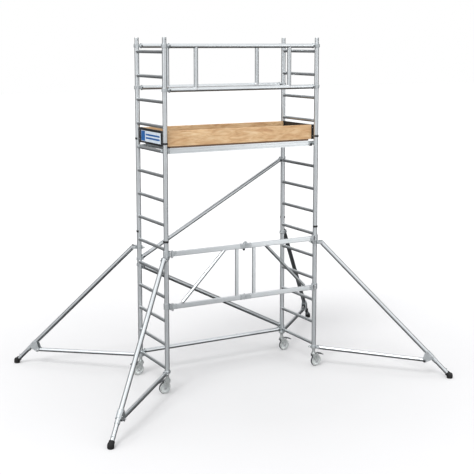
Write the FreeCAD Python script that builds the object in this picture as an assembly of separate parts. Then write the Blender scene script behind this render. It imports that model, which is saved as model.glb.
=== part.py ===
import FreeCAD, Part
import math
import os

# Mobile tower scaffold: three storeys of ladder frames on swivel casters, a folding
# base frame, a boarded platform with guard frames, and four outrigger stabilisers.
# Millimetres. +Z up, X along the tower, origin on the ground under its middle.

# --- driving dimensions -------------------------------------------------------------
TOWER_LENGTH = 1810.0       # upright axis to upright axis, along X
TOWER_WIDTH = 680.0         # upright axis to upright axis, along Y
UPRIGHT_R = 24.0
TUBE_WALL = 2.0
RUNG_R = 17.0
RUNG_PITCH = 250.0
FIRST_RUNG_Z = 260.0
UPRIGHT_BOTTOM_Z = 207.0
JOINT_ABOVE_RUNG = 85.0     # from a storey's last rung to its top joint
COLLAR_HEIGHT = 4.0
STOREYS = (("base", 0, 6), ("middle", 6, 4), ("top", 10, 4))   # first rung, rung count

FIT = 0.05                  # radial clearance of a pin in its hole
CLAMP_GAP = 0.3             # radial clearance of a clamp that turns on an upright
TOUCH = 0.05                # clearance of a clamp that stays put

HALF_X = TOWER_LENGTH / 2
HALF_Y = TOWER_WIDTH / 2
CORNERS = {
    "front_left": (-HALF_X, -HALF_Y, 225.0),
    "front_right": (HALF_X, -HALF_Y, 315.0),
    "rear_left": (-HALF_X, HALF_Y, 135.0),
    "rear_right": (HALF_X, HALF_Y, 45.0),
}
UP = FreeCAD.Vector(0, 0, 1)
ORIGIN = FreeCAD.Vector(0, 0, 0)


# --- small builders -----------------------------------------------------------------
def vec(x, y, z):
    return FreeCAD.Vector(x, y, z)


def rung_z(number):
    return FIRST_RUNG_Z + RUNG_PITCH * number


def box(x0, x1, y0, y1, z0, z1):
    return Part.makeBox(x1 - x0, y1 - y0, z1 - z0, vec(x0, y0, z0))


def rod(start, end, radius):
    along = end - start
    return Part.makeCylinder(radius, along.Length, start, along)


def tube(start, end, radius, wall=TUBE_WALL):
    return rod(start, end, radius).cut(rod(start, end, radius - wall))


def upright_rod(x, y, z0, z1, radius):
    return rod(vec(x, y, z0), vec(x, y, z1), radius)


def rail(x0, x1, y, z, depth, height, wall=TUBE_WALL):
    """A hollow rectangular rail along X, centred on y and z."""
    outer = box(x0, x1, y - depth / 2, y + depth / 2, z - height / 2, z + height / 2)
    inner_y = depth / 2 - wall
    inner_z = height / 2 - wall
    return outer.cut(box(x0, x1, y - inner_y, y + inner_y, z - inner_z, z + inner_z))


def prism(points, y0, y1):
    """A plate with the outline points (x, z), from y0 to y1."""
    corners = [vec(x, y0, z) for x, z in points]
    face = Part.Face(Part.makePolygon(corners + corners[:1]))
    return face.extrude(vec(0, y1 - y0, 0))


def open_ring(x, y, z0, z1, inner, outer, mouth_deg, mouth_width_deg):
    """A C-shaped ring about an upright, open at mouth_deg."""
    sweep = 360.0 - mouth_width_deg
    ring = Part.makeCylinder(outer, z1 - z0, ORIGIN, UP, sweep)
    ring = ring.cut(Part.makeCylinder(inner, z1 - z0, ORIGIN, UP))
    ring.rotate(ORIGIN, UP, mouth_deg + mouth_width_deg / 2)
    ring.translate(vec(x, y, z0))
    return ring


def at_corner(solids, corner, angle):
    """Solids built about their own upright axis, moved to a corner and turned."""
    x, y, _ = CORNERS[corner]
    placed = []
    for solid in solids:
        copy = solid.copy()
        copy.rotate(ORIGIN, UP, angle)
        copy.translate(vec(x, y, 0))
        placed.append(copy)
    return placed


def save(name, solids):
    shape = solids[0] if len(solids) == 1 else Part.makeCompound(solids)
    shape.exportStep(os.path.join("parts", name + ".step"))


# --- ladder frames, their joints and clips ------------------------------------------
def storey_joint_z(first, count):
    return rung_z(first + count - 1) + JOINT_ABOVE_RUNG


def ladder(x, first, count):
    top = storey_joint_z(first, count) - COLLAR_HEIGHT / 2
    bottom = UPRIGHT_BOTTOM_Z
    if first:
        bottom = rung_z(first - 1) + JOINT_ABOVE_RUNG + COLLAR_HEIGHT / 2
    solids = []
    posts = []
    for y in (-HALF_Y, HALF_Y):
        solids.append(tube(vec(x, y, bottom), vec(x, y, top), UPRIGHT_R))
        posts.append(upright_rod(x, y, bottom, top, UPRIGHT_R))
    for number in range(first, first + count):
        z = rung_z(number)
        rung = tube(vec(x, -HALF_Y, z), vec(x, HALF_Y, z), RUNG_R)
        solids.append(rung.cut(posts[0]).cut(posts[1]))
    return solids


SPIGOT_R = UPRIGHT_R - TUBE_WALL - CLAMP_GAP
SPIGOT_WALL = 3.0
SPIGOT_BELOW = 80.0
SPIGOT_ABOVE = 60.0


def spigot(x, y, joint_z):
    body = upright_rod(x, y, joint_z - SPIGOT_BELOW, joint_z + SPIGOT_ABOVE, SPIGOT_R)
    half = COLLAR_HEIGHT / 2
    body = body.fuse(upright_rod(x, y, joint_z - half, joint_z + half, UPRIGHT_R))
    bore = upright_rod(x, y, joint_z - SPIGOT_BELOW, joint_z + SPIGOT_ABOVE, SPIGOT_R - SPIGOT_WALL)
    return body.cut(bore)


CLIP_THICK = 3.2
CLIP_HALF_HEIGHT = 11.0
CLIP_MOUTH = 140.0          # the clip leaves this much of the tube open, towards the inside


def spigot_clip(x, y, joint_z):
    mouth = math.degrees(math.atan2(-y, -x * 0.25))
    inner = UPRIGHT_R + TOUCH
    low = joint_z - CLIP_HALF_HEIGHT
    high = joint_z + CLIP_HALF_HEIGHT
    return open_ring(x, y, low, high, inner, inner + CLIP_THICK, mouth, CLIP_MOUTH)


# --- claws that hook braces and guard frames on the uprights ------------------------
CLAW_INNER = UPRIGHT_R + TOUCH
CLAW_OUTER = 32.0
CLAW_MOUTH = 100.0
CLAW_REACH = 58.0           # upright axis to the end of the brace tube
CLAW_NECK_R = 14.0
CLAW_NECK_END = 44.0        # upright axis to where the neck widens into the socket
SOCKET_WALL = 2.5
BUTTON_R = 6.5
BUTTON_PROUD = 8.0
BUTTON_AT = 51.0


def claw(x, y, z, height, direction, tube_r):
    """A hook on the upright at x, y, z, with a socket towards direction."""
    mouth = -90.0 if y > 0 else 90.0
    centre = vec(x, y, z)
    hook = open_ring(x, y, z - height / 2, z + height / 2, CLAW_INNER, CLAW_OUTER, mouth, CLAW_MOUTH)
    neck = rod(centre + direction * UPRIGHT_R, centre + direction * CLAW_REACH, CLAW_NECK_R)
    socket = rod(centre + direction * CLAW_NECK_END, centre + direction * CLAW_REACH, tube_r + SOCKET_WALL)
    reach_z = height + tube_r
    hook = hook.fuse(neck).fuse(socket).cut(upright_rod(x, y, z - reach_z, z + reach_z, CLAW_INNER))
    proud = tube_r + SOCKET_WALL + BUTTON_PROUD
    middle = centre + direction * BUTTON_AT
    button = rod(middle - vec(0, proud, 0), middle + vec(0, proud, 0), BUTTON_R).cut(socket)
    return hook, button.Solids


def hooked_tube(ends, height, tube_r):
    """A round tube between two claws: the tube, its two claws and their buttons."""
    start, end = ends
    direction = (end - start).normalize()
    body = tube(start + direction * CLAW_REACH, end - direction * CLAW_REACH, tube_r)
    hook_a, button_a = claw(start.x, start.y, start.z, height, direction, tube_r)
    hook_b, button_b = claw(end.x, end.y, end.z, height, direction * -1, tube_r)
    return body, [hook_a, hook_b], button_a + button_b


BRACE_CLAW_HEIGHT = 28.0
REAR_BRACES = {             # left height, right height, tube radius
    "rear_diagonal_upper": (1292.0, 2290.0, 21.0),
    "rear_diagonal_lower": (1228.0, 294.0, 24.0),
    "rear_horizontal_brace": (261.0, 261.0, 23.0),
}

GUARD_CLAW_HEIGHT = 36.0
GUARD_TOP_Z = 3569.0
GUARD_MIDDLE_Z = 3132.0
GUARD_RAIL_R = 23.0
GUARD_POST_R = 22.0
GUARD_POST_X = 555.0


def guard_frame(y):
    solids = []
    hooks = []
    buttons = []
    rails = []
    for z in (GUARD_TOP_Z, GUARD_MIDDLE_Z):
        ends = (vec(-HALF_X, y, z), vec(HALF_X, y, z))
        body, new_hooks, new_buttons = hooked_tube(ends, GUARD_CLAW_HEIGHT, GUARD_RAIL_R)
        solids.append(body)
        hooks += new_hooks
        buttons += new_buttons
        rails.append(rod(ends[0], ends[1], GUARD_RAIL_R))
    for x in (-GUARD_POST_X, GUARD_POST_X):
        post = tube(vec(x, y, GUARD_MIDDLE_Z), vec(x, y, GUARD_TOP_Z), GUARD_POST_R)
        solids.append(post.cut(rails[0]).cut(rails[1]))
    return solids, hooks, buttons


# --- platform -----------------------------------------------------------------------
PLATFORM_RUNG_Z = rung_z(9)
RAIL_BOTTOM_Z = 2485.0
RAIL_TOP_Z = 2544.0
DECK_TOP_Z = 2560.0
RAIL_END_X = 835.0
RAIL_OUTER_Y = 300.0
RAIL_DEPTH = 25.0
CROSS_SIZE = 30.0
CROSS_BARS_X = (-820.0, -140.0, 170.0, 500.0, 820.0)
HATCH_X = (-760.0, -165.0)
HATCH_HALF_Y = 238.0
HATCH_GAP = 4.0
HATCH_THICK = 13.0


def platform_frame():
    middle_z = (RAIL_BOTTOM_Z + RAIL_TOP_Z) / 2
    inner_y = RAIL_OUTER_Y - RAIL_DEPTH
    solids = []
    for side in (-1, 1):
        y = side * (RAIL_OUTER_Y - RAIL_DEPTH / 2)
        solids.append(rail(-RAIL_END_X, RAIL_END_X, y, middle_z, RAIL_DEPTH, RAIL_TOP_Z - RAIL_BOTTOM_Z))
    half = CROSS_SIZE / 2
    core = half - TUBE_WALL
    for x in CROSS_BARS_X:
        z = RAIL_TOP_Z - half
        bar = box(x - half, x + half, -inner_y, inner_y, z - half, z + half)
        solids.append(bar.cut(box(x - core, x + core, -inner_y, inner_y, z - core, z + core)))
    return solids


def platform_deck():
    deck = box(-RAIL_END_X, RAIL_END_X, -RAIL_OUTER_Y, RAIL_OUTER_Y, RAIL_TOP_Z, DECK_TOP_Z)
    opening = box(HATCH_X[0], HATCH_X[1], -HATCH_HALF_Y, HATCH_HALF_Y, RAIL_TOP_Z, DECK_TOP_Z)
    return [deck.cut(opening)]


HOOK_INNER = RUNG_R + 0.2
HOOK_OUTER = 27.0
HOOK_THICK = 22.0
HOOK_CATCH = 9.0


def platform_hook(x_side, y_side):
    """A cast hook from the end of a platform rail over the rung beside it."""
    y_mid = y_side * (RAIL_OUTER_Y - RAIL_DEPTH / 2)
    y0 = y_mid - HOOK_THICK / 2
    z = PLATFORM_RUNG_Z
    ring = Part.makeCylinder(HOOK_OUTER, HOOK_THICK, vec(HALF_X, y0, z), vec(0, 1, 0))
    lower_half = box(HALF_X - 40, HALF_X + 40, y0, y0 + HOOK_THICK, z - 40, z - HOOK_CATCH)
    outline = (
        (RAIL_END_X, RAIL_BOTTOM_Z + 3),
        (RAIL_END_X + 12, RAIL_BOTTOM_Z + 3),
        (HALF_X - HOOK_OUTER + 4, z - HOOK_CATCH),
        (HALF_X - HOOK_INNER + 2, z + HOOK_INNER),
        (HALF_X - 6, z + HOOK_OUTER - 1),
        (RAIL_END_X, RAIL_TOP_Z - 4),
    )
    body = ring.cut(lower_half).fuse(prism(outline, y0, y0 + HOOK_THICK))
    seat = Part.makeCylinder(HOOK_INNER, HOOK_THICK, vec(HALF_X, y0, z), vec(0, 1, 0))
    body = body.cut(seat)
    catch_x = HALF_X - HOOK_OUTER - 10
    catch = box(catch_x - 7, catch_x + 7, y0 - 5, y0 + HOOK_THICK + 5, z - 21, z + 3).cut(body)
    if x_side < 0:
        body = body.mirror(ORIGIN, vec(1, 0, 0))
        catch = catch.mirror(ORIGIN, vec(1, 0, 0))
    return body, catch.Solids


BOARD_BOTTOM_Z = 2560.0
BOARD_TOP_Z = 2716.0
BOARD_THICK = 22.0
BOARD_END_X = 872.0
CORNER_OUT_X = 905.0
CORNER_OUT_Y = 302.0
CORNER_DEPTH = 21.0
END_BOARD_X = 903.0
END_BOARD_THICK = 20.0
LABEL_Y = (-239.0, 260.0)
LABEL_Z = (2574.0, 2698.0)
LABEL_THICK = 2.0


def side_board(side):
    outer = side * RAIL_OUTER_Y
    inner = side * (RAIL_OUTER_Y - BOARD_THICK)
    return [box(-BOARD_END_X, BOARD_END_X, min(outer, inner), max(outer, inner), BOARD_BOTTOM_Z, BOARD_TOP_Z)]


def end_boards():
    half_y = CORNER_OUT_Y - CORNER_DEPTH
    boards = []
    for side in (-1, 1):
        xs = sorted((side * END_BOARD_X, side * (END_BOARD_X - END_BOARD_THICK)))
        boards.append(box(xs[0], xs[1], -half_y, half_y, BOARD_BOTTOM_Z, BOARD_TOP_Z))
    return boards


def board_corners():
    """Hollow corner posts that join the ends of the boards, beyond the deck."""
    posts = []
    for x_side in (-1, 1):
        for y_side in (-1, 1):
            xs = sorted((x_side * BOARD_END_X, x_side * CORNER_OUT_X))
            ys = sorted((y_side * (CORNER_OUT_Y - CORNER_DEPTH), y_side * CORNER_OUT_Y))
            wall = 3.0
            post = box(xs[0], xs[1], ys[0], ys[1], DECK_TOP_Z - 2, BOARD_TOP_Z + 2)
            hollow = box(xs[0] + wall, xs[1] - wall, ys[0] + wall, ys[1] - wall, DECK_TOP_Z - 2, BOARD_TOP_Z + 2)
            posts.append(post.cut(hollow))
    return posts


# --- hatch --------------------------------------------------------------------------
HINGE_Y = HATCH_HALF_Y + 8.0
HINGE_Z = DECK_TOP_Z + 9.0
HINGE_PIN_R = 4.0
KNUCKLE_R = 8.0
KNUCKLE_LENGTH = 60.0
HATCH_KNUCKLES_X = (-640.0, -345.0)
FIXED_KNUCKLE_GAP = 1.0


def hatch_knuckle(x0, x1, leaf_y0, leaf_y1):
    """A barrel on the hinge line with a leaf lying on the deck or the hatch."""
    barrel = rod(vec(x0, HINGE_Y, HINGE_Z), vec(x1, HINGE_Y, HINGE_Z), KNUCKLE_R)
    leaf = box(x0, x1, leaf_y0, leaf_y1, DECK_TOP_Z, DECK_TOP_Z + 3)
    return barrel.fuse(leaf)


def hatch_hinge():
    pin_x0 = HATCH_KNUCKLES_X[0] - KNUCKLE_LENGTH
    pin_x1 = HATCH_KNUCKLES_X[1] + 2 * KNUCKLE_LENGTH
    pin = rod(vec(pin_x0, HINGE_Y, HINGE_Z), vec(pin_x1, HINGE_Y, HINGE_Z), HINGE_PIN_R)
    leaf_far = RAIL_OUTER_Y - BOARD_THICK - 1
    solid = pin
    for x in HATCH_KNUCKLES_X:
        left = hatch_knuckle(x - KNUCKLE_LENGTH, x - FIXED_KNUCKLE_GAP, HINGE_Y, leaf_far)
        start = x + KNUCKLE_LENGTH + FIXED_KNUCKLE_GAP
        right = hatch_knuckle(start, start + KNUCKLE_LENGTH - 2 * FIXED_KNUCKLE_GAP, HINGE_Y, leaf_far)
        solid = solid.fuse(left).fuse(right)
    return [solid]


def hatch_panel():
    top = DECK_TOP_Z - 0.5
    half_y = HATCH_HALF_Y - HATCH_GAP
    panel = box(HATCH_X[0] + HATCH_GAP, HATCH_X[1] - HATCH_GAP, -half_y, half_y, top - HATCH_THICK, top)
    for x in HATCH_KNUCKLES_X:
        panel = panel.fuse(hatch_knuckle(x, x + KNUCKLE_LENGTH, half_y - 34, HINGE_Y))
        strap = box(x, x + KNUCKLE_LENGTH, half_y - 34, half_y - 0.5, top - 1, DECK_TOP_Z)
        panel = panel.fuse(strap)
    pin_hole = rod(vec(HATCH_X[0], HINGE_Y, HINGE_Z), vec(HATCH_X[1], HINGE_Y, HINGE_Z), HINGE_PIN_R + FIT)
    return [panel.cut(pin_hole)]


HANDLE_Y = -160.0
HANDLE_X = (HATCH_X[0] + HATCH_X[1]) / 2
HANDLE_ROD_R = 3.2
HANDLE_PIVOT_R = 3.8
HANDLE_BEND_R = 12.0
HANDLE_EAR = 14.0
HANDLE_HALF_WIDTH = 45.0
HANDLE_LENGTH = 42.0
HANDLE_Z = DECK_TOP_Z + 5.0


def hatch_handle():
    """A lifting bail, laid flat on the hatch, turning in two eyes."""
    half = HANDLE_HALF_WIDTH
    bend = HANDLE_BEND_R
    grip_y = HANDLE_Y - HANDLE_LENGTH
    slant = bend * (1 - math.sqrt(0.5))

    def at(x, y):
        return vec(HANDLE_X + x, y, HANDLE_Z)

    left_arc = Part.Arc(at(-half, grip_y + bend), at(-half + slant, grip_y + slant), at(-half + bend, grip_y))
    right_arc = Part.Arc(at(half - bend, grip_y), at(half - slant, grip_y + slant), at(half, grip_y + bend))
    path = Part.Wire([
        Part.LineSegment(at(-half, HANDLE_Y), at(-half, grip_y + bend)).toShape(),
        left_arc.toShape(),
        Part.LineSegment(at(-half + bend, grip_y), at(half - bend, grip_y)).toShape(),
        right_arc.toShape(),
        Part.LineSegment(at(half, grip_y + bend), at(half, HANDLE_Y)).toShape(),
    ])
    section = Part.Wire(Part.makeCircle(HANDLE_ROD_R, at(-half, HANDLE_Y), vec(0, -1, 0)))
    bail = path.makePipeShell([section], True, False)
    ear = half + HANDLE_EAR
    pivot = rod(at(-ear, HANDLE_Y), at(ear, HANDLE_Y), HANDLE_PIVOT_R)
    return [bail.fuse(pivot)]


def hatch_eyes():
    eyes = []
    for side in (-1, 1):
        x = HANDLE_X + side * (HANDLE_HALF_WIDTH + 9)
        eye = box(x - 4, x + 4, HANDLE_Y - 7, HANDLE_Y + 7, DECK_TOP_Z - 0.5, HANDLE_Z + 6)
        hole = rod(vec(x - 5, HANDLE_Y, HANDLE_Z), vec(x + 5, HANDLE_Y, HANDLE_Z), HANDLE_PIVOT_R + FIT)
        eyes.append(eye.cut(hole))
    return eyes


# --- folding base frame -------------------------------------------------------------
FOLD_Y = -378.0
FOLD_DEPTH = 26.0
FOLD_HEIGHT = 50.0
FOLD_PIVOT_X = 857.0
FOLD_TOP_Z = 1472.0
FOLD_BOTTOM_Z = 921.0
FOLD_PIN_R = 6.0
OPEN_NOTCH_R = 7.2
FOLD_POST_X = 104.0
FOLD_POST_WIDTH = 35.0
FOLD_POST_DEPTH = 20.0
FOLD_STAY_R = 17.0
FOLD_STAY = ((252.0, 1452.0), (742.0, 954.0))
END_FITTING_X = 822.0
CENTRE_FITTING_X = 62.0
CENTRE_GAP = 1.0
CENTRE_PIN_Y = FOLD_Y + FOLD_DEPTH / 2 + 9.0
CENTRE_PIN_R = 4.0
CENTRE_BARREL_R = 7.5
LOCK_X = -18.0
LOCK_R = 5.0
ARCH_R = 24.0
ARCH_RISE = 24.0
ARCH_THICK = 10.0


def fold_rails(side):
    """The rails, post and slanting stay of one half; side is -1 for left, 1 for right."""
    solids = []
    blocks = []
    xs = sorted((side * CENTRE_FITTING_X, side * END_FITTING_X))
    for z in (FOLD_TOP_Z, FOLD_BOTTOM_Z):
        solids.append(rail(xs[0], xs[1], FOLD_Y, z, FOLD_DEPTH, FOLD_HEIGHT))
        half_depth = FOLD_DEPTH / 2
        half_height = FOLD_HEIGHT / 2
        blocks.append(box(xs[0], xs[1], FOLD_Y - half_depth, FOLD_Y + half_depth, z - half_height, z + half_height))
    x = side * FOLD_POST_X
    low = FOLD_BOTTOM_Z + FOLD_HEIGHT / 2
    high = FOLD_TOP_Z - FOLD_HEIGHT / 2
    half_width = FOLD_POST_WIDTH / 2
    half_post = FOLD_POST_DEPTH / 2
    post = box(x - half_width, x + half_width, FOLD_Y - half_post, FOLD_Y + half_post, low, high)
    core_x = half_width - TUBE_WALL
    core_y = half_post - TUBE_WALL
    solids.append(post.cut(box(x - core_x, x + core_x, FOLD_Y - core_y, FOLD_Y + core_y, low, high)))
    (x0, z0), (x1, z1) = FOLD_STAY
    stay = tube(vec(side * x0, FOLD_Y, z0), vec(side * x1, FOLD_Y, z1), FOLD_STAY_R)
    solids.append(stay.cut(blocks[0]).cut(blocks[1]))
    return solids


def end_fitting(side, z):
    """The rail's end: a rounded eye on the left, a half-open notch on the right."""
    half = FOLD_DEPTH / 2
    low = z - FOLD_HEIGHT / 2
    high = z + FOLD_HEIGHT / 2
    pivot_x = side * FOLD_PIVOT_X
    xs = sorted((side * END_FITTING_X, pivot_x))
    block = box(xs[0], xs[1], FOLD_Y - half, FOLD_Y + half, low, high)
    if side < 0:
        block = block.fuse(upright_rod(pivot_x, FOLD_Y, low, high, half))
        return block.cut(upright_rod(pivot_x, FOLD_Y, low, high, FOLD_PIN_R + FIT))
    return block.cut(upright_rod(pivot_x, FOLD_Y, low, high, OPEN_NOTCH_R))


def arch(side, z):
    """Half of the rounded cheek over the centre joint."""
    disc = Part.makeCylinder(ARCH_R, ARCH_THICK, vec(0, FOLD_Y - ARCH_THICK / 2, z), vec(0, 1, 0))
    xs = sorted((side * CENTRE_GAP, side * ARCH_R))
    return disc.common(box(xs[0], xs[1], FOLD_Y - ARCH_THICK, FOLD_Y + ARCH_THICK, z - ARCH_R, z + ARCH_R))


def centre_fitting(side, z):
    half = FOLD_DEPTH / 2
    low = z - FOLD_HEIGHT / 2
    high = z + FOLD_HEIGHT / 2
    xs = sorted((side * CENTRE_GAP, side * CENTRE_FITTING_X))
    block = box(xs[0], xs[1], FOLD_Y - half, FOLD_Y + half, low, high)
    if z == FOLD_TOP_Z:
        block = block.fuse(arch(side, high + ARCH_RISE - ARCH_R))
    leaf_xs = sorted((0, side * 40.0))
    back = FOLD_Y + half
    knuckle = FOLD_HEIGHT / 3
    if side < 0:
        spans = ((low, low + knuckle - 0.4), (high - knuckle + 0.4, high))
    else:
        spans = ((low + knuckle, high - knuckle),)
    for z0, z1 in spans:
        leaf = box(leaf_xs[0], leaf_xs[1], back, back + 3.5, z0, z1)
        barrel = upright_rod(0, CENTRE_PIN_Y, z0, z1, CENTRE_BARREL_R)
        web_xs = sorted((0, side * CENTRE_BARREL_R))
        web = box(web_xs[0], web_xs[1], back, CENTRE_PIN_Y, z0, z1)
        block = block.fuse(leaf).fuse(barrel).fuse(web)
    return block.cut(upright_rod(0, CENTRE_PIN_Y, low, high, CENTRE_PIN_R + FIT))


def centre_pin(z):
    low = z - FOLD_HEIGHT / 2
    high = z + FOLD_HEIGHT / 2
    pin = upright_rod(0, CENTRE_PIN_Y, low - 6, high + 2, CENTRE_PIN_R)
    pin = pin.fuse(upright_rod(0, CENTRE_PIN_Y, low - 12, low - 0.5, CENTRE_BARREL_R))
    return pin.fuse(upright_rod(0, CENTRE_PIN_Y, high + 0.5, high + 5, CENTRE_BARREL_R))


LOCK_KNOB_R = 12.0
LOCK_TRAVEL = 12.0


def lock_plunger():
    low = FOLD_TOP_Z - FOLD_HEIGHT / 2
    high = FOLD_TOP_Z + FOLD_HEIGHT / 2
    plunger = upright_rod(LOCK_X, FOLD_Y, low - 3, high, LOCK_R)
    knob = upright_rod(LOCK_X, FOLD_Y, low - 22, low - 3, LOCK_KNOB_R)
    knob = knob.makeFillet(3.0, [edge for edge in knob.Edges if edge.Closed and edge.Length > LOCK_KNOB_R])
    return [plunger.fuse(knob)]


def fold_half(side):
    solids = fold_rails(side)
    for z in (FOLD_TOP_Z, FOLD_BOTTOM_Z):
        solids.append(end_fitting(side, z))
        fitting = centre_fitting(side, z)
        if side < 0 and z == FOLD_TOP_Z:
            top = z + FOLD_HEIGHT
            fitting = fitting.cut(upright_rod(LOCK_X, FOLD_Y, z - FOLD_HEIGHT, top, LOCK_R + FIT))
        solids.append(fitting)
        if side < 0:
            solids.append(centre_pin(z))
    return solids


BRACKET_PLATE = 5.0
BRACKET_GAP = 0.6
BRACKET_WEB_X = 873.0


def fold_bracket(side, z):
    """A clamp on a front upright with a forked seat for the folding frame's end."""
    half = FOLD_HEIGHT / 2 + BRACKET_GAP + BRACKET_PLATE
    x = side * HALF_X
    y = -HALF_Y
    bracket = open_ring(x, y, z - half, z + half, CLAW_INNER, CLAW_OUTER, 90.0, CLAW_MOUTH)
    web_xs = sorted((side * BRACKET_WEB_X, side * (BRACKET_WEB_X + 14)))
    front = FOLD_Y - FOLD_DEPTH / 2
    bracket = bracket.fuse(box(web_xs[0], web_xs[1], front, -HALF_Y - 10, z - half, z + half))
    plate_xs = sorted((side * (FOLD_PIVOT_X - 12), side * (BRACKET_WEB_X + 14)))
    for z0 in (z - half, z + half - BRACKET_PLATE):
        plate = box(plate_xs[0], plate_xs[1], front, FOLD_Y + FOLD_DEPTH / 2, z0, z0 + BRACKET_PLATE)
        bracket = bracket.fuse(plate)
    bracket = bracket.cut(upright_rod(x, y, z - half, z + half, CLAW_INNER))
    return bracket.cut(upright_rod(side * FOLD_PIVOT_X, FOLD_Y, z - half, z + half, FOLD_PIN_R + 0.02))


def fold_pin(side, z):
    half = FOLD_HEIGHT / 2 + BRACKET_GAP + BRACKET_PLATE
    x = side * FOLD_PIVOT_X
    pin = upright_rod(x, FOLD_Y, z - half - 14, z + half + 6, FOLD_PIN_R)
    pin = pin.fuse(upright_rod(x, FOLD_Y, z + half, z + half + 6, FOLD_PIN_R + 4))
    return pin.fuse(upright_rod(x, FOLD_Y, z - half - 12, z - half, FOLD_PIN_R + 5))


# --- casters ------------------------------------------------------------------------
WHEEL_R = 62.5
WHEEL_WIDTH = 32.0
HUB_R = 46.0
TRAIL = 31.0
AXLE_R = 6.0
FORK_INNER = 19.5
FORK_THICK = 4.5
FORK_TOP_Z = 146.0
STEM_R = 16.0
STEM_BOTTOM_Z = 156.0
KINGPIN_R = 6.0
PEDAL_PIVOT = (36.0, 138.0)
PEDAL_PIN_R = 4.0
PEDAL_BARREL_R = 6.4
PEDAL_HALF_WIDTH = 17.0


def caster_stem():
    plug = rod(vec(0, 0, UPRIGHT_BOTTOM_Z), vec(0, 0, UPRIGHT_BOTTOM_Z + 80), SPIGOT_R)
    flange = rod(vec(0, 0, UPRIGHT_BOTTOM_Z - 4), vec(0, 0, UPRIGHT_BOTTOM_Z), UPRIGHT_R)
    stem = rod(vec(0, 0, STEM_BOTTOM_Z), vec(0, 0, UPRIGHT_BOTTOM_Z - 4), STEM_R)
    collar = rod(vec(0, 0, STEM_BOTTOM_Z), vec(0, 0, STEM_BOTTOM_Z + 6), UPRIGHT_R)
    kingpin = rod(vec(0, 0, FORK_TOP_Z - 12), vec(0, 0, STEM_BOTTOM_Z), KINGPIN_R)
    return plug.fuse(flange).fuse(stem).fuse(collar).fuse(kingpin)


def caster_fork():
    """The swivelling fork, with the axle and the pedal's pin that it carries."""
    outer = FORK_INNER + FORK_THICK
    leg_outline = (
        (-27.0, FORK_TOP_Z),
        (44.0, FORK_TOP_Z),
        (50.0, 128.0),
        (46.0, 58.0),
        (38.0, 50.0),
        (24.0, 50.0),
        (16.0, 60.0),
        (-27.0, 132.0),
    )
    fork = box(-27, 26, -outer, outer, FORK_TOP_Z - 6, FORK_TOP_Z)
    fork = fork.fuse(rod(vec(0, 0, FORK_TOP_Z - 6), vec(0, 0, STEM_BOTTOM_Z - 0.6), 29.0))
    for side in (-1, 1):
        ys = sorted((side * FORK_INNER, side * outer))
        fork = fork.fuse(prism(leg_outline, ys[0], ys[1]))
    fork = fork.cut(rod(vec(0, 0, 100), vec(0, 0, 200), KINGPIN_R + FIT))
    axle_at = vec(TRAIL, 0, WHEEL_R)
    reach = vec(0, outer + 7, 0)
    fork = fork.cut(rod(axle_at - reach, axle_at + reach, AXLE_R))
    pivot_at = vec(PEDAL_PIVOT[0], 0, PEDAL_PIVOT[1])
    fork = fork.cut(rod(pivot_at - reach, pivot_at + reach, PEDAL_PIN_R))
    axle = rod(axle_at - reach, axle_at + reach, AXLE_R)
    for side in (-1, 1):
        head_start = axle_at + vec(0, side * outer, 0)
        axle = axle.fuse(rod(head_start, axle_at + vec(0, side * (outer + 6), 0), 10.0))
    short_reach = vec(0, outer + 2, 0)
    pin = rod(pivot_at - short_reach, pivot_at + short_reach, PEDAL_PIN_R)
    return [fork, axle, pin]


def caster_wheel():
    """The wheel body and the tread around it."""
    half = WHEEL_WIDTH / 2
    centre = vec(TRAIL, 0, WHEEL_R)
    half_vec = vec(0, half, 0)
    tread = rod(centre - half_vec, centre + half_vec, WHEEL_R)
    rims = [edge for edge in tread.Edges if edge.Closed and edge.Length > WHEEL_R]
    tread = tread.makeFillet(7.0, rims).cut(rod(centre - half_vec, centre + half_vec, HUB_R))
    hub_half = vec(0, half - 1, 0)
    hub = rod(centre - hub_half, centre + hub_half, HUB_R)
    for side in (-1, 1):
        face = centre + vec(0, side * (half - 1), 0)
        floor = centre + vec(0, side * 7, 0)
        hub = hub.cut(rod(face, floor, HUB_R - 6).cut(rod(face, floor, 15.0)))
    hub_end = vec(0, half + 2, 0)
    hub = hub.fuse(rod(centre - hub_end, centre + hub_end, 13.0))
    return [hub.cut(rod(centre - hub_end, centre + hub_end, AXLE_R + FIT)), tread]


def brake_pedal():
    pivot = vec(PEDAL_PIVOT[0], 0, PEDAL_PIVOT[1])
    half = vec(0, PEDAL_HALF_WIDTH, 0)
    arm = prism(((34, 145.5), (64, 147.5), (112, 130), (117, 124), (111, 121), (62, 137), (38, 131)),
                -PEDAL_HALF_WIDTH, PEDAL_HALF_WIDTH)
    arm = arm.fuse(rod(pivot - half, pivot + half, PEDAL_BARREL_R))
    arm = arm.fuse(prism(((50, 142), (62, 142), (61, 125.5), (52, 126)), -12, 12))
    arm = arm.fuse(prism(((66, 146), (112, 130), (117, 124), (111, 121), (66, 136)), -26, 26))
    return [arm.cut(rod(pivot - half, pivot + half, PEDAL_PIN_R + FIT))]


# --- stabilisers, built in the plane y = 0 and then turned about the upright --------
STAB_HEAD = (72.0, 1421.0)
STAB_SLOPE = 0.9745
STAB_TUBE_R = 24.0
STAB_LEG_R = 21.0
STRUT_R = 21.0
STRUT_START = (54.0, 222.0)
STRUT_END = (1246.0, 178.0)
UPPER_CLAW_Z = (1402.0, 1438.0)
LOWER_CLAW_Z = (208.5, 240.0)
TUBE_END_T = 1776.0
LEG_START_T = 1300.0
LEG_END_T = 1960.0
FOOT_TOP_T = 1925.0
BOLT_R = 5.0
PLATE_THICK = 4.0

_length = math.hypot(1.0, STAB_SLOPE)
STAB_DIR = FreeCAD.Vector(1.0 / _length, 0, -STAB_SLOPE / _length)
STAB_NORMAL = FreeCAD.Vector(STAB_SLOPE / _length, 0, 1.0 / _length)


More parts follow.
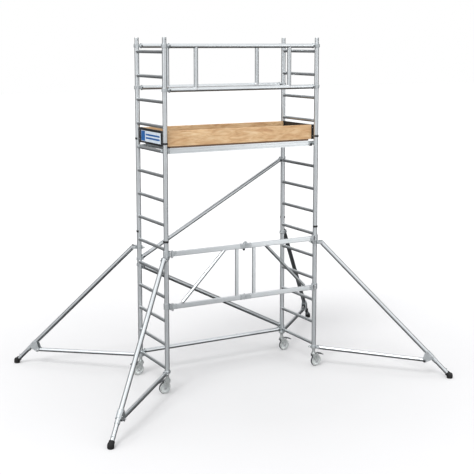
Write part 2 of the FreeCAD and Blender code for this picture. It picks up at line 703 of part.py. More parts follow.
def on_stab(t, off=0.0):
    """A point t along the long tube from its head, off to its upper side."""
    return vec(STAB_HEAD[0], 0, STAB_HEAD[1]) + STAB_DIR * t + STAB_NORMAL * off


def cross_bolt(centre, half_width, radius=BOLT_R):
    reach = vec(0, half_width, 0)
    return rod(centre - reach, centre + reach, radius)


TUBE_BOLT_AT = on_stab(8.0)
STRUT_BOLT_AT = vec(66.0, 0, 221.5)
JOINT_STRUT_AT = vec(1230.0, 0, 178.6)
JOINT_Y = STAB_TUBE_R + 0.4


def stabiliser_tube():
    long_tube = tube(on_stab(-8.0), on_stab(TUBE_END_T), STAB_TUBE_R)
    long_tube = long_tube.cut(cross_bolt(TUBE_BOLT_AT, 40))
    collar = rod(on_stab(TUBE_END_T), on_stab(TUBE_END_T + 16), STAB_TUBE_R + 2)
    collar = collar.cut(rod(on_stab(TUBE_END_T), on_stab(TUBE_END_T + 16), STAB_LEG_R + CLAMP_GAP))
    start = vec(STRUT_START[0], 0, STRUT_START[1])
    end = vec(STRUT_END[0], 0, STRUT_END[1])
    strut = tube(start, end, STRUT_R)
    strut = strut.cut(cross_bolt(STRUT_BOLT_AT, 40)).cut(cross_bolt(JOINT_STRUT_AT, 40))
    outline = [on_stab(1640, 16), on_stab(1745, 16), on_stab(1745, -12)]
    outline = [(p.x, p.z) for p in outline] + [(1252, 155), (1216, 155), (1216, 205)]
    last = on_stab(1640, -14)
    outline.append((last.x, last.z))
    coupling = rod(on_stab(1650), on_stab(1735), JOINT_Y + PLATE_THICK)
    for side in (-1, 1):
        ys = sorted((side * JOINT_Y, side * (JOINT_Y + PLATE_THICK)))
        coupling = coupling.fuse(prism(outline, ys[0], ys[1]))
    coupling = coupling.cut(rod(on_stab(1600), on_stab(1780), STAB_TUBE_R + TOUCH))
    coupling = coupling.cut(rod(start, end, STRUT_R + TOUCH)).cut(cross_bolt(JOINT_STRUT_AT, 40))
    bolt = cross_bolt(JOINT_STRUT_AT, JOINT_Y + PLATE_THICK + 6)
    for side in (-1, 1):
        head_from = JOINT_STRUT_AT + vec(0, side * (JOINT_Y + PLATE_THICK), 0)
        bolt = bolt.fuse(rod(head_from, head_from + vec(0, side * 6, 0), 9.0))
    return [long_tube, collar, strut, coupling, bolt]


def stabiliser_claw(z_range, plate_y, plate_reach, bolt_at):
    """A clamp that turns on the upright, its jaw screw and the bolt through the tube."""
    z0, z1 = z_range
    inner = UPRIGHT_R + CLAMP_GAP
    ring = open_ring(0, 0, z0, z1, inner, inner + 9, 90.0, 70.0)
    outer_y = plate_y + PLATE_THICK
    block = box(26, 42, -outer_y, outer_y, z0, z1)
    body = ring.fuse(block)
    for side in (-1, 1):
        ys = sorted((side * plate_y, side * outer_y))
        body = body.fuse(box(41, plate_reach, ys[0], ys[1], z0, z1))
    body = body.fuse(box(-38, -30, -9, 9, z0, z1))
    body = body.cut(rod(vec(0, 0, z0), vec(0, 0, z1), inner))
    body = body.cut(cross_bolt(bolt_at, 40))
    bolt = cross_bolt(bolt_at, outer_y + 6)
    for side in (-1, 1):
        head_from = bolt_at + vec(0, side * outer_y, 0)
        bolt = bolt.fuse(rod(head_from, head_from + vec(0, side * 6, 0), 9.0))
    middle = (z0 + z1) / 2
    screw = rod(vec(-66, 0, middle), vec(-38, 0, middle), BOLT_R)
    screw = screw.fuse(rod(vec(-52, 0, middle), vec(-40, 0, middle), 10.0))
    screw = screw.fuse(box(-54, -46, -24, 24, middle - 6, middle + 6))
    return [body, bolt, screw]


def stabiliser_claws():
    upper = stabiliser_claw(UPPER_CLAW_Z, JOINT_Y, 92.0, TUBE_BOLT_AT)
    lower = stabiliser_claw(LOWER_CLAW_Z, STRUT_R + 0.4, 78.0, STRUT_BOLT_AT)
    return upper + lower


def stabiliser_leg():
    return [tube(on_stab(LEG_START_T), on_stab(LEG_END_T), STAB_LEG_R)]


FOOT_BALL = (1500.0, 27.0)
FOOT_BALL_R = 33.0
FOOT_PAD_X = 1506.0


def stabiliser_foot():
    """A rubber boot: a socket on the leg and a rounded pad on the ground."""
    socket = rod(on_stab(FOOT_TOP_T), on_stab(FOOT_TOP_T + 78), 28.0)
    ball = Part.makeSphere(FOOT_BALL_R, vec(FOOT_BALL[0], 0, FOOT_BALL[1]))
    pad = rod(vec(FOOT_PAD_X, 0, 0), vec(FOOT_PAD_X, 0, 24), 31.0)
    foot = socket.fuse(ball).fuse(pad)
    foot = foot.cut(box(1300, 1700, -100, 100, -100, 0))
    return [foot.cut(rod(on_stab(FOOT_TOP_T), on_stab(LEG_END_T + 2), STAB_LEG_R + TOUCH))]


# --- write every sub-part -----------------------------------------------------------
os.makedirs("parts", exist_ok=True)

spigots = []
clips = []
for storey, first_rung, rung_count in STOREYS:
    save(storey + "_ladder_left", ladder(-HALF_X, first_rung, rung_count))
    save(storey + "_ladder_right", ladder(HALF_X, first_rung, rung_count))
    joint = storey_joint_z(first_rung, rung_count)
    for corner_x, corner_y, _ in CORNERS.values():
        spigots.append(spigot(corner_x, corner_y, joint))
        if storey != "top":
            clips.append(spigot_clip(corner_x, corner_y, joint))
save("ladder_spigots", spigots)
save("spigot_clips", clips)

hooks = []
latches = []
for brace, (left_z, right_z, brace_r) in REAR_BRACES.items():
    ends = (vec(-HALF_X, HALF_Y, left_z), vec(HALF_X, HALF_Y, right_z))
    brace_tube, brace_hooks, brace_buttons = hooked_tube(ends, BRACE_CLAW_HEIGHT, brace_r)
    save(brace, [brace_tube])
    hooks += brace_hooks
    latches += brace_buttons
for guard, guard_y in (("guard_frame_front", -HALF_Y), ("guard_frame_rear", HALF_Y)):
    guard_solids, guard_hooks, guard_buttons = guard_frame(guard_y)
    save(guard, guard_solids)
    hooks += guard_hooks
    latches += guard_buttons
save("claw_hooks", hooks)

save("platform_frame", platform_frame())
save("platform_deck", platform_deck())
platform_hooks = []
for end_side in (-1, 1):
    for board_side in (-1, 1):
        hook_body, hook_catch = platform_hook(end_side, board_side)
        platform_hooks.append(hook_body)
        latches += hook_catch
save("platform_hooks", platform_hooks)
save("claw_latches", latches)

save("toe_board_front", side_board(-1))
save("toe_board_rear", side_board(1))
save("toe_board_ends", end_boards())
save("toe_board_corners", board_corners())
save("name_plate", [box(-END_BOARD_X - LABEL_THICK, -END_BOARD_X, *LABEL_Y, *LABEL_Z)])

save("hatch_hinge", hatch_hinge())
save("hatch_panel", hatch_panel() + hatch_eyes())
save("hatch_handle", hatch_handle())

save("fold_frame_left", fold_half(-1))
save("fold_frame_right", fold_half(1))
save("fold_lock", lock_plunger())
save("fold_end_brackets", [fold_bracket(s, z) for s in (-1, 1) for z in (FOLD_TOP_Z, FOLD_BOTTOM_Z)])
save("fold_end_pins", [fold_pin(s, z) for s in (-1, 1) for z in (FOLD_TOP_Z, FOLD_BOTTOM_Z)])

stems = []
for corner, (_, _, outward) in CORNERS.items():
    heading = 0.0 if corner.endswith("right") else 180.0
    stems += at_corner([caster_stem()], corner, 0.0)
    save("caster_fork_" + corner, at_corner(caster_fork(), corner, heading))
    save("caster_wheel_" + corner, at_corner(caster_wheel(), corner, heading))
    save("brake_pedal_" + corner, at_corner(brake_pedal(), corner, heading))
    save("stabiliser_tube_" + corner, at_corner(stabiliser_tube(), corner, outward))
    save("stabiliser_claws_" + corner, at_corner(stabiliser_claws(), corner, outward))
    save("stabiliser_leg_" + corner, at_corner(stabiliser_leg(), corner, outward))
    save("stabiliser_foot_" + corner, at_corner(stabiliser_foot(), corner, outward))
save("caster_stems", stems)
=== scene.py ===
import math

import bpy
from mathutils import Matrix, Vector


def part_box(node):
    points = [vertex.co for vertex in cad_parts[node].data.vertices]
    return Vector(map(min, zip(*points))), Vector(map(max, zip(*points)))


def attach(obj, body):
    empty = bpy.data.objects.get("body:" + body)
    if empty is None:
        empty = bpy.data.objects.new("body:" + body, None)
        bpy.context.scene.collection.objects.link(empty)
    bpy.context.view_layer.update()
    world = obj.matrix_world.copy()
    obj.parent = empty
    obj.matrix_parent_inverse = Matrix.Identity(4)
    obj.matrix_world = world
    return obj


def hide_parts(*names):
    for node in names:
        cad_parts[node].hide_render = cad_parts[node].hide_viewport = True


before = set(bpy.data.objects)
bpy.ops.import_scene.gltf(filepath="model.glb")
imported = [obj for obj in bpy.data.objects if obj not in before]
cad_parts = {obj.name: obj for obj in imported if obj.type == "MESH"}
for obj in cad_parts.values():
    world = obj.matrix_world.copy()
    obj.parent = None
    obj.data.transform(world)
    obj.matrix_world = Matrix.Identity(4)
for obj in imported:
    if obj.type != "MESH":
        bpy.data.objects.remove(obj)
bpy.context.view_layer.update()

# A mobile tower scaffold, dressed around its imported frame. Metres; X runs along the
# tower, Y across it, Z up. Places come from the frame's nodes.

# --- driving dimensions ---------------------------------------------------------------
UPRIGHT_R = 0.024
TUBE_WALL = 0.002
RUNG_R = 0.017
RUNG_PITCH = 0.25
FIRST_RUNG_Z = 0.26
STOREYS = {"base": (0, 6), "middle": (6, 4), "top": (10, 4)}    # first rung, rung count

HALF_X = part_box("base_ladder_right")[1].x - UPRIGHT_R
HALF_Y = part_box("base_ladder_right")[1].y - UPRIGHT_R
CORNERS = {
    "front_left": (-HALF_X, -HALF_Y, 225.0),
    "front_right": (HALF_X, -HALF_Y, 315.0),
    "rear_left": (-HALF_X, HALF_Y, 135.0),
    "rear_right": (HALF_X, HALF_Y, 45.0),
}
X_AXIS = Vector((1, 0, 0))
Y_AXIS = Vector((0, 1, 0))
Z_AXIS = Vector((0, 0, 1))

patterns = []       # shapes modelled once and copied; removed at the end


# --- places ---------------------------------------------------------------------------
def moved(x, y, z):
    return Matrix.Translation((x, y, z))


def turned_by(degrees, axis="Z"):
    return Matrix.Rotation(math.radians(degrees), 4, axis)


def toward(start, direction):
    """A place at start whose Z lies along direction."""
    turn = Vector(direction).to_track_quat("Z", "Y").to_matrix().to_4x4()
    return Matrix.Translation(start) @ turn


def facing(start, x_axis, z_axis):
    """A place at start with its own X and Z along these directions."""
    z = Vector(z_axis).normalized()
    y = z.cross(Vector(x_axis)).normalized()
    turn = Matrix((y.cross(z), y, z)).transposed().to_4x4()
    return Matrix.Translation(start) @ turn


def corner_place(corner, angle):
    x, y, _ = CORNERS[corner]
    return moved(x, y, 0) @ turned_by(angle)


# --- modelling steps ------------------------------------------------------------------
def clear_selection():
    bpy.ops.object.select_all(action="DESELECT")


def only(obj):
    clear_selection()
    obj.select_set(True)
    bpy.context.view_layer.objects.active = obj


def apply_modifier(obj, kind, **settings):
    only(obj)
    modifier = obj.modifiers.new(kind.lower(), kind)
    for name, value in settings.items():
        setattr(modifier, name, value)
    bpy.ops.object.modifier_apply(modifier=modifier.name)
    return obj


def soften(obj, width, segments=2, angle=40.0):
    """Rounds the edges that turn by more than angle."""
    limit = math.radians(angle)
    return apply_modifier(obj, "BEVEL", width=width, segments=segments, limit_method="ANGLE",
                          angle_limit=limit, use_clamp_overlap=True)


def put(obj, place):
    """Moves the mesh itself, and leaves the object at the origin."""
    whole = place @ obj.matrix_world
    obj.data.transform(whole)
    if whole.determinant() < 0:
        obj.data.flip_normals()
    obj.matrix_world = Matrix.Identity(4)
    return obj


def duplicate(obj, place=None):
    copy = obj.copy()
    copy.data = obj.data.copy()
    bpy.context.scene.collection.objects.link(copy)
    return put(copy, place) if place is not None else copy


def joined(objs):
    objs = list(objs)
    if len(objs) > 1:
        clear_selection()
        for obj in objs:
            obj.select_set(True)
        bpy.context.view_layer.objects.active = objs[0]
        bpy.ops.object.join()
    return objs[0]


def pattern(obj):
    patterns.append(obj)
    return obj


def edit_all(obj, mode="EDGE"):
    only(obj)
    bpy.ops.object.mode_set(mode="EDIT")
    bpy.ops.mesh.select_mode(type=mode)
    bpy.ops.mesh.select_all(action="SELECT")


def mend(obj, distance=0.00001):
    """Merges doubled points and turns every face outwards."""
    edit_all(obj)
    bpy.ops.mesh.remove_doubles(threshold=distance)
    bpy.ops.mesh.normals_make_consistent(inside=False)
    bpy.ops.object.mode_set(mode="OBJECT")
    return obj


def block(x0, x1, y0, y1, z0, z1, edge=0.001, segments=2):
    """A box with rounded edges."""
    clear_selection()
    bpy.ops.mesh.primitive_cube_add(size=1.0)
    obj = bpy.context.object
    size = Matrix.Diagonal((x1 - x0, y1 - y0, z1 - z0, 1))
    put(obj, moved((x0 + x1) / 2, (y0 + y1) / 2, (z0 + z1) / 2) @ size)
    return soften(obj, edge, segments)


def turned(profile, sides=32, closed=False):
    """A turned piece about Z, from (radius, z) points in order.

    It starts as a disc that is extruded and scaled from point to point. A closed
    profile goes all the way round and leaves a hole through the middle.
    """
    clear_selection()
    radius, z = profile[0]
    fill = "NOTHING" if closed else "NGON"
    bpy.ops.mesh.primitive_circle_add(vertices=sides, radius=radius, fill_type=fill, location=(0, 0, z))
    obj = bpy.context.object
    put(obj, Matrix.Identity(4))
    edit_all(obj, "EDGE" if closed else "FACE")
    points = profile[1:] + profile[:1] if closed else profile[1:]
    for next_radius, next_z in points:
        bpy.ops.mesh.extrude_region_move(TRANSFORM_OT_translate={"value": (0, 0, next_z - z)})
        if next_radius != radius:
            scale = next_radius / radius
            bpy.ops.transform.resize(value=(scale, scale, 1), center_override=(0, 0, 0))
        radius, z = next_radius, next_z
    bpy.ops.object.mode_set(mode="OBJECT")
    return mend(obj)


def arc(cx, cy, radius, start, end, steps=8):
    """Points on an arc, with its ends, in degrees."""
    points = []
    for step in range(steps + 1):
        angle = math.radians(start + (end - start) * step / steps)
        points.append((cx + radius * math.cos(angle), cy + radius * math.sin(angle)))
    return points


def rounded_box(width, height, radius, steps=4, cx=0.0, cy=0.0):
    """The outline of a rectangle with round corners."""
    x = width / 2 - radius
    y = height / 2 - radius
    outline = []
    for sx, sy, start in ((1, 1, 0), (-1, 1, 90), (-1, -1, 180), (1, -1, 270)):
        outline += arc(cx + sx * x, cy + sy * y, radius, start, start + 90, steps)
    return outline


def circle(cx, cy, radius, steps=20):
    return arc(cx, cy, radius, 0, 360 - 360 / steps, steps - 1)


def flat_part(outlines, z0, z1, edge=0.0006, resolution=1):
    """A flat curve given thickness from z0 to z1. The first outline is the rim, the rest are holes."""
    clear_selection()
    curve = bpy.data.curves.new("outline", "CURVE")
    curve.dimensions = "2D"
    curve.fill_mode = "BOTH"
    curve.extrude = (z1 - z0) / 2 - edge
    curve.bevel_depth = edge
    curve.bevel_resolution = resolution
    curve.offset = -edge
    for outline in outlines:
        spline = curve.splines.new("POLY")
        spline.points.add(len(outline) - 1)
        for point, (x, y) in zip(spline.points, outline):
            point.co = (x, y, 0, 1)
        spline.use_cyclic_u = True
    obj = bpy.data.objects.new("flat_part", curve)
    bpy.context.scene.collection.objects.link(obj)
    only(obj)
    bpy.ops.object.convert(target="MESH")
    obj = bpy.context.object
    put(obj, moved(0, 0, (z0 + z1) / 2))
    return mend(obj)


# --- tubes ----------------------------------------------------------------------------
def tube_pattern(radius, wall=TUBE_WALL, sides=48, flutes=0.0):
    """A tube one metre long along Z with eased ends; flutes is how deep its ribs are cut."""
    clear_selection()
    bpy.ops.mesh.primitive_cylinder_add(vertices=sides, radius=radius, depth=1.0,
                                        end_fill_type="NOTHING", location=(0, 0, 0.5))
    obj = bpy.context.object
    put(obj, Matrix.Identity(4))
    if flutes:
        for vertex in obj.data.vertices:
            turn = math.atan2(vertex.co.y, vertex.co.x) / math.tau * sides
            if round(turn) % 2:
                vertex.co.x *= 1 - flutes / radius
                vertex.co.y *= 1 - flutes / radius
    apply_modifier(obj, "SOLIDIFY", thickness=wall, offset=-1.0)
    soften(obj, min(0.0006, wall * 0.3), angle=60.0)
    return pattern(obj)


def tube(shape, start, end):
    """A copy of a tube pattern, lengthened to reach from start to end."""
    start = Vector(start)
    along = Vector(end) - start
    copy = duplicate(shape)
    for vertex in copy.data.vertices:
        if vertex.co.z > 0.5:
            vertex.co.z += along.length - 1
    return put(copy, toward(start, along))


def weld_bead(rung_r, post_r, bead=0.0022):
    """A weld round the end of a tube that stands on a post. The tube lies along +Y, the post along Z."""
    clear_selection()
    bpy.ops.mesh.primitive_torus_add(major_radius=rung_r + bead * 0.35, minor_radius=bead,
                                     major_segments=36, minor_segments=8)
    obj = bpy.context.object
    put(obj, turned_by(90, "X"))
    for vertex in obj.data.vertices:
        x = max(-post_r, min(post_r, vertex.co.x))
        ripple = 0.0003 * math.sin(18 * math.atan2(vertex.co.z, vertex.co.x))
        vertex.co.y += math.sqrt(post_r ** 2 - x ** 2) + ripple
    return pattern(obj)


# --- materials ------------------------------------------------------------------------
materials = {}


class Finish:
    """One procedural material, patterned in Object coordinates."""

    def __init__(self, name, metallic=0.0, roughness=0.5, **sockets):
        self.material = bpy.data.materials.new(name)
        self.material.use_nodes = True
        self.tree = self.material.node_tree
        self.shader = self.tree.nodes["Principled BSDF"]
        self.shader.inputs["Metallic"].default_value = metallic
        self.shader.inputs["Roughness"].default_value = roughness
        for socket, value in sockets.items():
            self.shader.inputs[socket.replace("_", " ")].default_value = value
        self.coordinates = self.add("ShaderNodeTexCoord")
        self.height = None
        materials[name] = self.material

    def add(self, kind, **values):
        node = self.tree.nodes.new(kind)
        for name, value in values.items():
            if name in node.inputs:
                node.inputs[name].default_value = value
            else:
                setattr(node, name, value)
        return node

    def link(self, source, target):
        self.tree.links.new(source, target)

    def place(self, stretch=(1, 1, 1), turn=(0, 0, 0)):
        mapping = self.add("ShaderNodeMapping")
        mapping.inputs["Scale"].default_value = stretch
        mapping.inputs["Rotation"].default_value = turn
        self.link(self.coordinates.outputs["Object"], mapping.inputs["Vector"])
        return mapping.outputs["Vector"]

    def noise(self, scale, stretch=(1, 1, 1), detail=3.0, roughness=0.5, distortion=0.0):
        node = self.add("ShaderNodeTexNoise", Scale=scale, Detail=detail, Roughness=roughness,
                        Distortion=distortion)
        self.link(self.place(stretch), node.inputs["Vector"])
        return node.outputs["Fac"]

    def cells(self, scale, stretch=(1, 1, 1), output="Color"):
        node = self.add("ShaderNodeTexVoronoi", Scale=scale)
        self.link(self.place(stretch), node.inputs["Vector"])
        return node.outputs[output]

    def bands(self, scale, stretch, distortion, detail=3.0, turn=(0, 0, 0), direction="Z"):
        node = self.add("ShaderNodeTexWave", Scale=scale, Distortion=distortion, Detail=detail,
                        bands_direction=direction)
        node.inputs["Detail Scale"].default_value = 1.4
        self.link(self.place(stretch, turn), node.inputs["Vector"])
        return node.outputs["Fac"]

    def ramp(self, factor, stops):
        """Colours or greys along factor, from (position, colour) stops."""
        node = self.add("ShaderNodeValToRGB")
        elements = node.color_ramp.elements
        while len(elements) < len(stops):
            elements.new(0.5)
        for element, (position, colour) in zip(elements, stops):
            grey = isinstance(colour, (int, float))
            element.position = position
            element.color = (colour, colour, colour, 1) if grey else (*colour, 1)
        self.link(factor, node.inputs["Fac"])
        return node.outputs["Color"]

    def blend(self, first, second, factor=0.5, mode="MIX"):
        node = self.add("ShaderNodeMix", data_type="RGBA", blend_type=mode)
        if isinstance(factor, float):
            node.inputs["Factor"].default_value = factor
        else:
            self.link(factor, node.inputs["Factor"])
        self.link(first, node.inputs["A"])
        self.link(second, node.inputs["B"])
        return next(o for o in node.outputs if o.type == "RGBA")

    def colour(self, socket):
        self.link(socket, self.shader.inputs["Base Color"])

    def roughness(self, socket):
        self.link(socket, self.shader.inputs["Roughness"])

    def bump(self, height, strength, distance):
        node = self.add("ShaderNodeBump", Strength=strength, Distance=distance)
        self.link(height, node.inputs["Height"])
        if self.height:
            self.link(self.height, node.inputs["Normal"])
        self.height = node.outputs["Normal"]
        self.link(self.height, self.shader.inputs["Normal"])


def drawn_aluminium(name, stretch, tone=1.0):
    """Mill-finished tube: faint die lines along its length, dull patches and a few small scuffs."""
    made = Finish(name, metallic=0.90, roughness=0.30)
    lines = made.noise(1.0, stretch, detail=4.0, roughness=0.6)
    patches = made.noise(5.0, detail=3.0, roughness=0.5)
    scuffs = made.noise(30.0, detail=5.0, roughness=0.7, distortion=0.6)
    tint = made.ramp(lines, [(0.25, (0.60 * tone, 0.63 * tone, 0.64 * tone)),
                             (0.75, (0.66 * tone, 0.69 * tone, 0.70 * tone))])
    shade = made.ramp(patches, [(0.3, 0.93), (0.6, 1.0)])
    marks = made.ramp(scuffs, [(0.24, 0.84), (0.32, 1.0)])
    made.colour(made.blend(made.blend(tint, shade, 1.0, "MULTIPLY"), marks, 0.6, "MULTIPLY"))
    made.roughness(made.ramp(patches, [(0.25, 0.27), (0.7, 0.34)]))
    made.bump(lines, 0.02, 0.0001)


def metal_finishes():
    drawn_aluminium("aluminium_upright", (260, 260, 2.2))
    drawn_aluminium("aluminium_rung", (260, 2.2, 260))
    drawn_aluminium("aluminium_rail", (2.2, 260, 260))
    drawn_aluminium("aluminium_slant", (120, 120, 60), 0.97)
    # the same tube finish made darker (tone 0.84): painted shade for the rear diagonal braces
    drawn_aluminium("aluminium_painted_shade", (90, 90, 60), 0.84)

    cast = Finish("cast_alloy", metallic=0.75, roughness=0.5)
    grain = cast.noise(620.0, detail=4.0, roughness=0.65)
    cloud = cast.noise(34.0, detail=4.0)
    tint = cast.ramp(cloud, [(0.3, (0.46, 0.49, 0.50)), (0.7, (0.60, 0.63, 0.64))])
    pits = cast.ramp(grain, [(0.25, 0.78), (0.5, 1.0)])
    cast.colour(cast.blend(tint, pits, 1.0, "MULTIPLY"))
    cast.roughness(cast.ramp(grain, [(0.2, 0.62), (0.8, 0.42)]))
    cast.bump(grain, 0.35, 0.0006)
    cast.bump(cloud, 0.15, 0.001)

    weld = Finish("weld_metal", metallic=0.85, roughness=0.42)
    ripples = weld.noise(380.0, detail=3.0)
    soot = weld.noise(60.0, detail=3.0)
    tint = weld.ramp(ripples, [(0.3, (0.50, 0.50, 0.51)), (0.7, (0.72, 0.72, 0.73))])
    weld.colour(weld.blend(tint, weld.ramp(soot, [(0.3, 0.7), (0.6, 1.0)]), 0.8, "MULTIPLY"))
    weld.roughness(weld.ramp(ripples, [(0.2, 0.55), (0.8, 0.33)]))
    weld.bump(ripples, 0.4, 0.0008)

    zinc = Finish("zinc_plate", metallic=0.88, roughness=0.34)
    spangle = zinc.cells(240.0)
    cloud = zinc.noise(24.0, detail=5.0, roughness=0.6)
    flake = zinc.ramp(spangle, [(0.1, (0.56, 0.58, 0.60)), (0.9, (0.68, 0.70, 0.71))])
    tint = zinc.ramp(cloud, [(0.3, (0.80, 0.84, 0.80)), (0.6, (1.0, 1.0, 0.97)), (0.8, (0.93, 0.95, 1.0))])
    zinc.colour(zinc.blend(flake, tint, 1.0, "MULTIPLY"))
    zinc.roughness(zinc.ramp(cloud, [(0.25, 0.26), (0.75, 0.46)]))
    zinc.bump(spangle, 0.05, 0.0004)
    zinc.bump(cloud, 0.08, 0.0008)

    steel = Finish("bright_steel", metallic=0.95, roughness=0.26)
    turning = steel.noise(900.0, detail=2.0)
    smear = steel.noise(40.0, detail=4.0)
    steel.colour(steel.ramp(smear, [(0.3, (0.50, 0.51, 0.53)), (0.7, (0.70, 0.70, 0.71))]))
    steel.roughness(steel.ramp(turning, [(0.3, 0.20), (0.7, 0.38)]))
    steel.bump(turning, 0.12, 0.0003)


def plastic_finishes():
    for name, dark, light, rough in (
            ("moulded_black", (0.010, 0.010, 0.011), (0.026, 0.026, 0.028), (0.38, 0.54)),
            ("moulded_grey", (0.060, 0.064, 0.070), (0.105, 0.110, 0.118), (0.44, 0.60))):
        made = Finish(name, roughness=0.46)
        spark = made.noise(950.0, detail=3.0, roughness=0.6)
        wear = made.noise(48.0, detail=5.0, roughness=0.68)
        made.colour(made.ramp(wear, [(0.3, dark), (0.72, light)]))
        made.roughness(made.ramp(spark, [(0.3, rough[0]), (0.7, rough[1])]))
        made.bump(spark, 0.22, 0.0004)
        made.bump(wear, 0.08, 0.001)

    rubber = Finish("foot_rubber", roughness=0.8)
    crumb = rubber.noise(520.0, detail=5.0, roughness=0.7)
    dust = rubber.noise(30.0, detail=6.0, roughness=0.7)
    base = rubber.ramp(crumb, [(0.3, (0.004, 0.004, 0.004)), (0.7, (0.010, 0.010, 0.010))])
    film = rubber.ramp(dust, [(0.5, (0.0, 0.0, 0.0)), (0.8, (0.012, 0.011, 0.010))])
    rubber.colour(rubber.blend(base, film, 1.0, "ADD"))
    rubber.roughness(rubber.ramp(crumb, [(0.3, 0.70), (0.7, 0.92)]))
    rubber.bump(crumb, 0.4, 0.0008)

    for name, dark, light in (
            ("tyre_grey", (0.50, 0.53, 0.51), (0.66, 0.69, 0.67)),
            ("hub_grey", (0.62, 0.65, 0.65), (0.76, 0.79, 0.78))):
        made = Finish(name, roughness=0.6)
        crumb = made.noise(480.0, detail=4.0, roughness=0.65)
        dirt = made.noise(38.0, detail=6.0, roughness=0.7)
        tint = made.ramp(dirt, [(0.28, dark), (0.6, light)])
        made.colour(made.blend(tint, made.ramp(crumb, [(0.25, 0.86), (0.55, 1.0)]), 1.0, "MULTIPLY"))
        made.roughness(made.ramp(crumb, [(0.3, 0.50), (0.7, 0.70)]))
        made.bump(crumb, 0.25, 0.0006)
        made.bump(dirt, 0.08, 0.001)


def board_finishes():
    """Rotary-cut boards with long blotchy figure and fine pores along X, and the deck's film."""
    pine = Finish("pine_along", roughness=0.55)
    flames = pine.noise(1.0, (5.0, 34, 24), detail=6.0, roughness=0.62, distortion=1.2)
    clouds = pine.noise(1.0, (2.2, 6, 5), detail=4.0, roughness=0.6)
    streaks = pine.noise(1.0, (7, 260, 190), detail=5.0, roughness=0.65)
    pores = pine.noise(1.0, (26, 900, 900), detail=3.0, roughness=0.6)
    tint = pine.ramp(flames, [(0.30, (0.54, 0.30, 0.145)), (0.42, (0.68, 0.425, 0.215)),
                              (0.55, (0.78, 0.535, 0.295)), (0.70, (0.87, 0.65, 0.40))])
    cloud = pine.ramp(clouds, [(0.32, (0.86, 0.79, 0.72)), (0.55, (1.0, 1.0, 1.0)),
                               (0.72, (1.05, 1.04, 1.02))])
    streak = pine.ramp(streaks, [(0.30, 0.80), (0.50, 1.0), (0.75, 1.06)])
    fibre = pine.ramp(pores, [(0.28, 0.72), (0.40, 1.0)])
    wood = pine.blend(pine.blend(tint, cloud, 1.0, "MULTIPLY"), streak, 0.8, "MULTIPLY")
    pine.colour(pine.blend(wood, fibre, 0.5, "MULTIPLY"))
    pine.roughness(pine.ramp(streaks, [(0.3, 0.64), (0.7, 0.48)]))
    pine.bump(pores, 0.25, 0.0005)
    pine.bump(streaks, 0.15, 0.0006)

    black = Finish("black_board", roughness=0.42)
    fibre = black.noise(1.0, (500, 12, 500), detail=4.0, roughness=0.7)
    wear = black.noise(26.0, detail=6.0, roughness=0.7)
    black.colour(black.ramp(wear, [(0.3, (0.008, 0.008, 0.009)), (0.75, (0.022, 0.021, 0.020))]))
    black.roughness(black.ramp(fibre, [(0.3, 0.34), (0.7, 0.55)]))
    black.bump(fibre, 0.2, 0.0005)

    film = Finish("deck_film", roughness=0.5)
    quarter = math.radians(45)
    one = film.bands(52.0, (1, 1, 1), 0.0, detail=0.0, turn=(0, 0, quarter), direction="X")
    two = film.bands(52.0, (1, 1, 1), 0.0, detail=0.0, turn=(0, 0, -quarter), direction="X")
    mesh = film.blend(film.ramp(one, [(0.62, 0.0), (0.85, 1.0)]), film.ramp(two, [(0.62, 0.0), (0.85, 1.0)]),
                      1.0, "LIGHTEN")
    wear = film.noise(11.0, detail=7.0, roughness=0.68)
    tint = film.ramp(wear, [(0.3, (0.055, 0.030, 0.018)), (0.55, (0.085, 0.050, 0.030)),
                            (0.8, (0.15, 0.105, 0.07))])
    film.colour(film.blend(tint, film.ramp(mesh, [(0.0, 1.0), (1.0, 0.72)]), 1.0, "MULTIPLY"))
    film.roughness(film.ramp(wear, [(0.3, 0.38), (0.75, 0.62)]))
    film.bump(mesh, 0.5, 0.0009)

    edge = Finish("deck_edge", roughness=0.62)
    plies = edge.bands(150.0, (0.02, 0.02, 1.0), 0.4, detail=2.0)
    fibre = edge.noise(1.0, (40, 40, 900), detail=4.0)
    tint = edge.ramp(plies, [(0.3, (0.11, 0.055, 0.03)), (0.7, (0.20, 0.115, 0.06))])
    edge.colour(edge.blend(tint, edge.ramp(fibre, [(0.3, 0.7), (0.6, 1.0)]), 1.0, "MULTIPLY"))
    edge.roughness(edge.ramp(fibre, [(0.3, 0.72), (0.7, 0.5)]))
    edge.bump(fibre, 0.2, 0.0004)


def print_finishes():
    for name, low, high in (
            ("plate_pale", (0.60, 0.70, 0.80), (0.80, 0.86, 0.91)),
            ("plate_blue", (0.010, 0.085, 0.30), (0.02, 0.15, 0.44)),
            ("plate_dark", (0.012, 0.014, 0.02), (0.03, 0.034, 0.045))):
        made = Finish(name, roughness=0.38)
        fade = made.noise(14.0, detail=5.0, roughness=0.6)
        speck = made.noise(420.0, detail=4.0, roughness=0.7)
        tint = made.ramp(fade, [(0.3, low), (0.7, high)])
        made.colour(made.blend(tint, made.ramp(speck, [(0.24, 0.75), (0.34, 1.0)]), 0.7, "MULTIPLY"))
        made.roughness(made.ramp(fade, [(0.3, 0.30), (0.7, 0.46)]))
        made.bump(speck, 0.08, 0.0003)


def floor_finish():
    """A pale floor that glows a little more far out, so that it runs into the white behind it."""
    made = Finish("studio_floor", roughness=0.9, Emission_Color=(1, 1, 1, 1), Specular_IOR_Level=0.0)
    haze = made.noise(0.8, detail=3.0)
    made.colour(made.ramp(haze, [(0.3, 0.55), (0.7, 0.56)]))
    rings = made.add("ShaderNodeTexGradient", gradient_type="SPHERICAL")
    made.link(made.place((0.1, 0.1, 0.1)), rings.inputs["Vector"])
    glow = made.ramp(rings.outputs["Fac"], [(0.35, 0.33), (0.85, 0.13)])
    made.link(glow, made.shader.inputs["Emission Strength"])


metal_finishes()
plastic_finishes()
board_finishes()
print_finishes()
floor_finish()


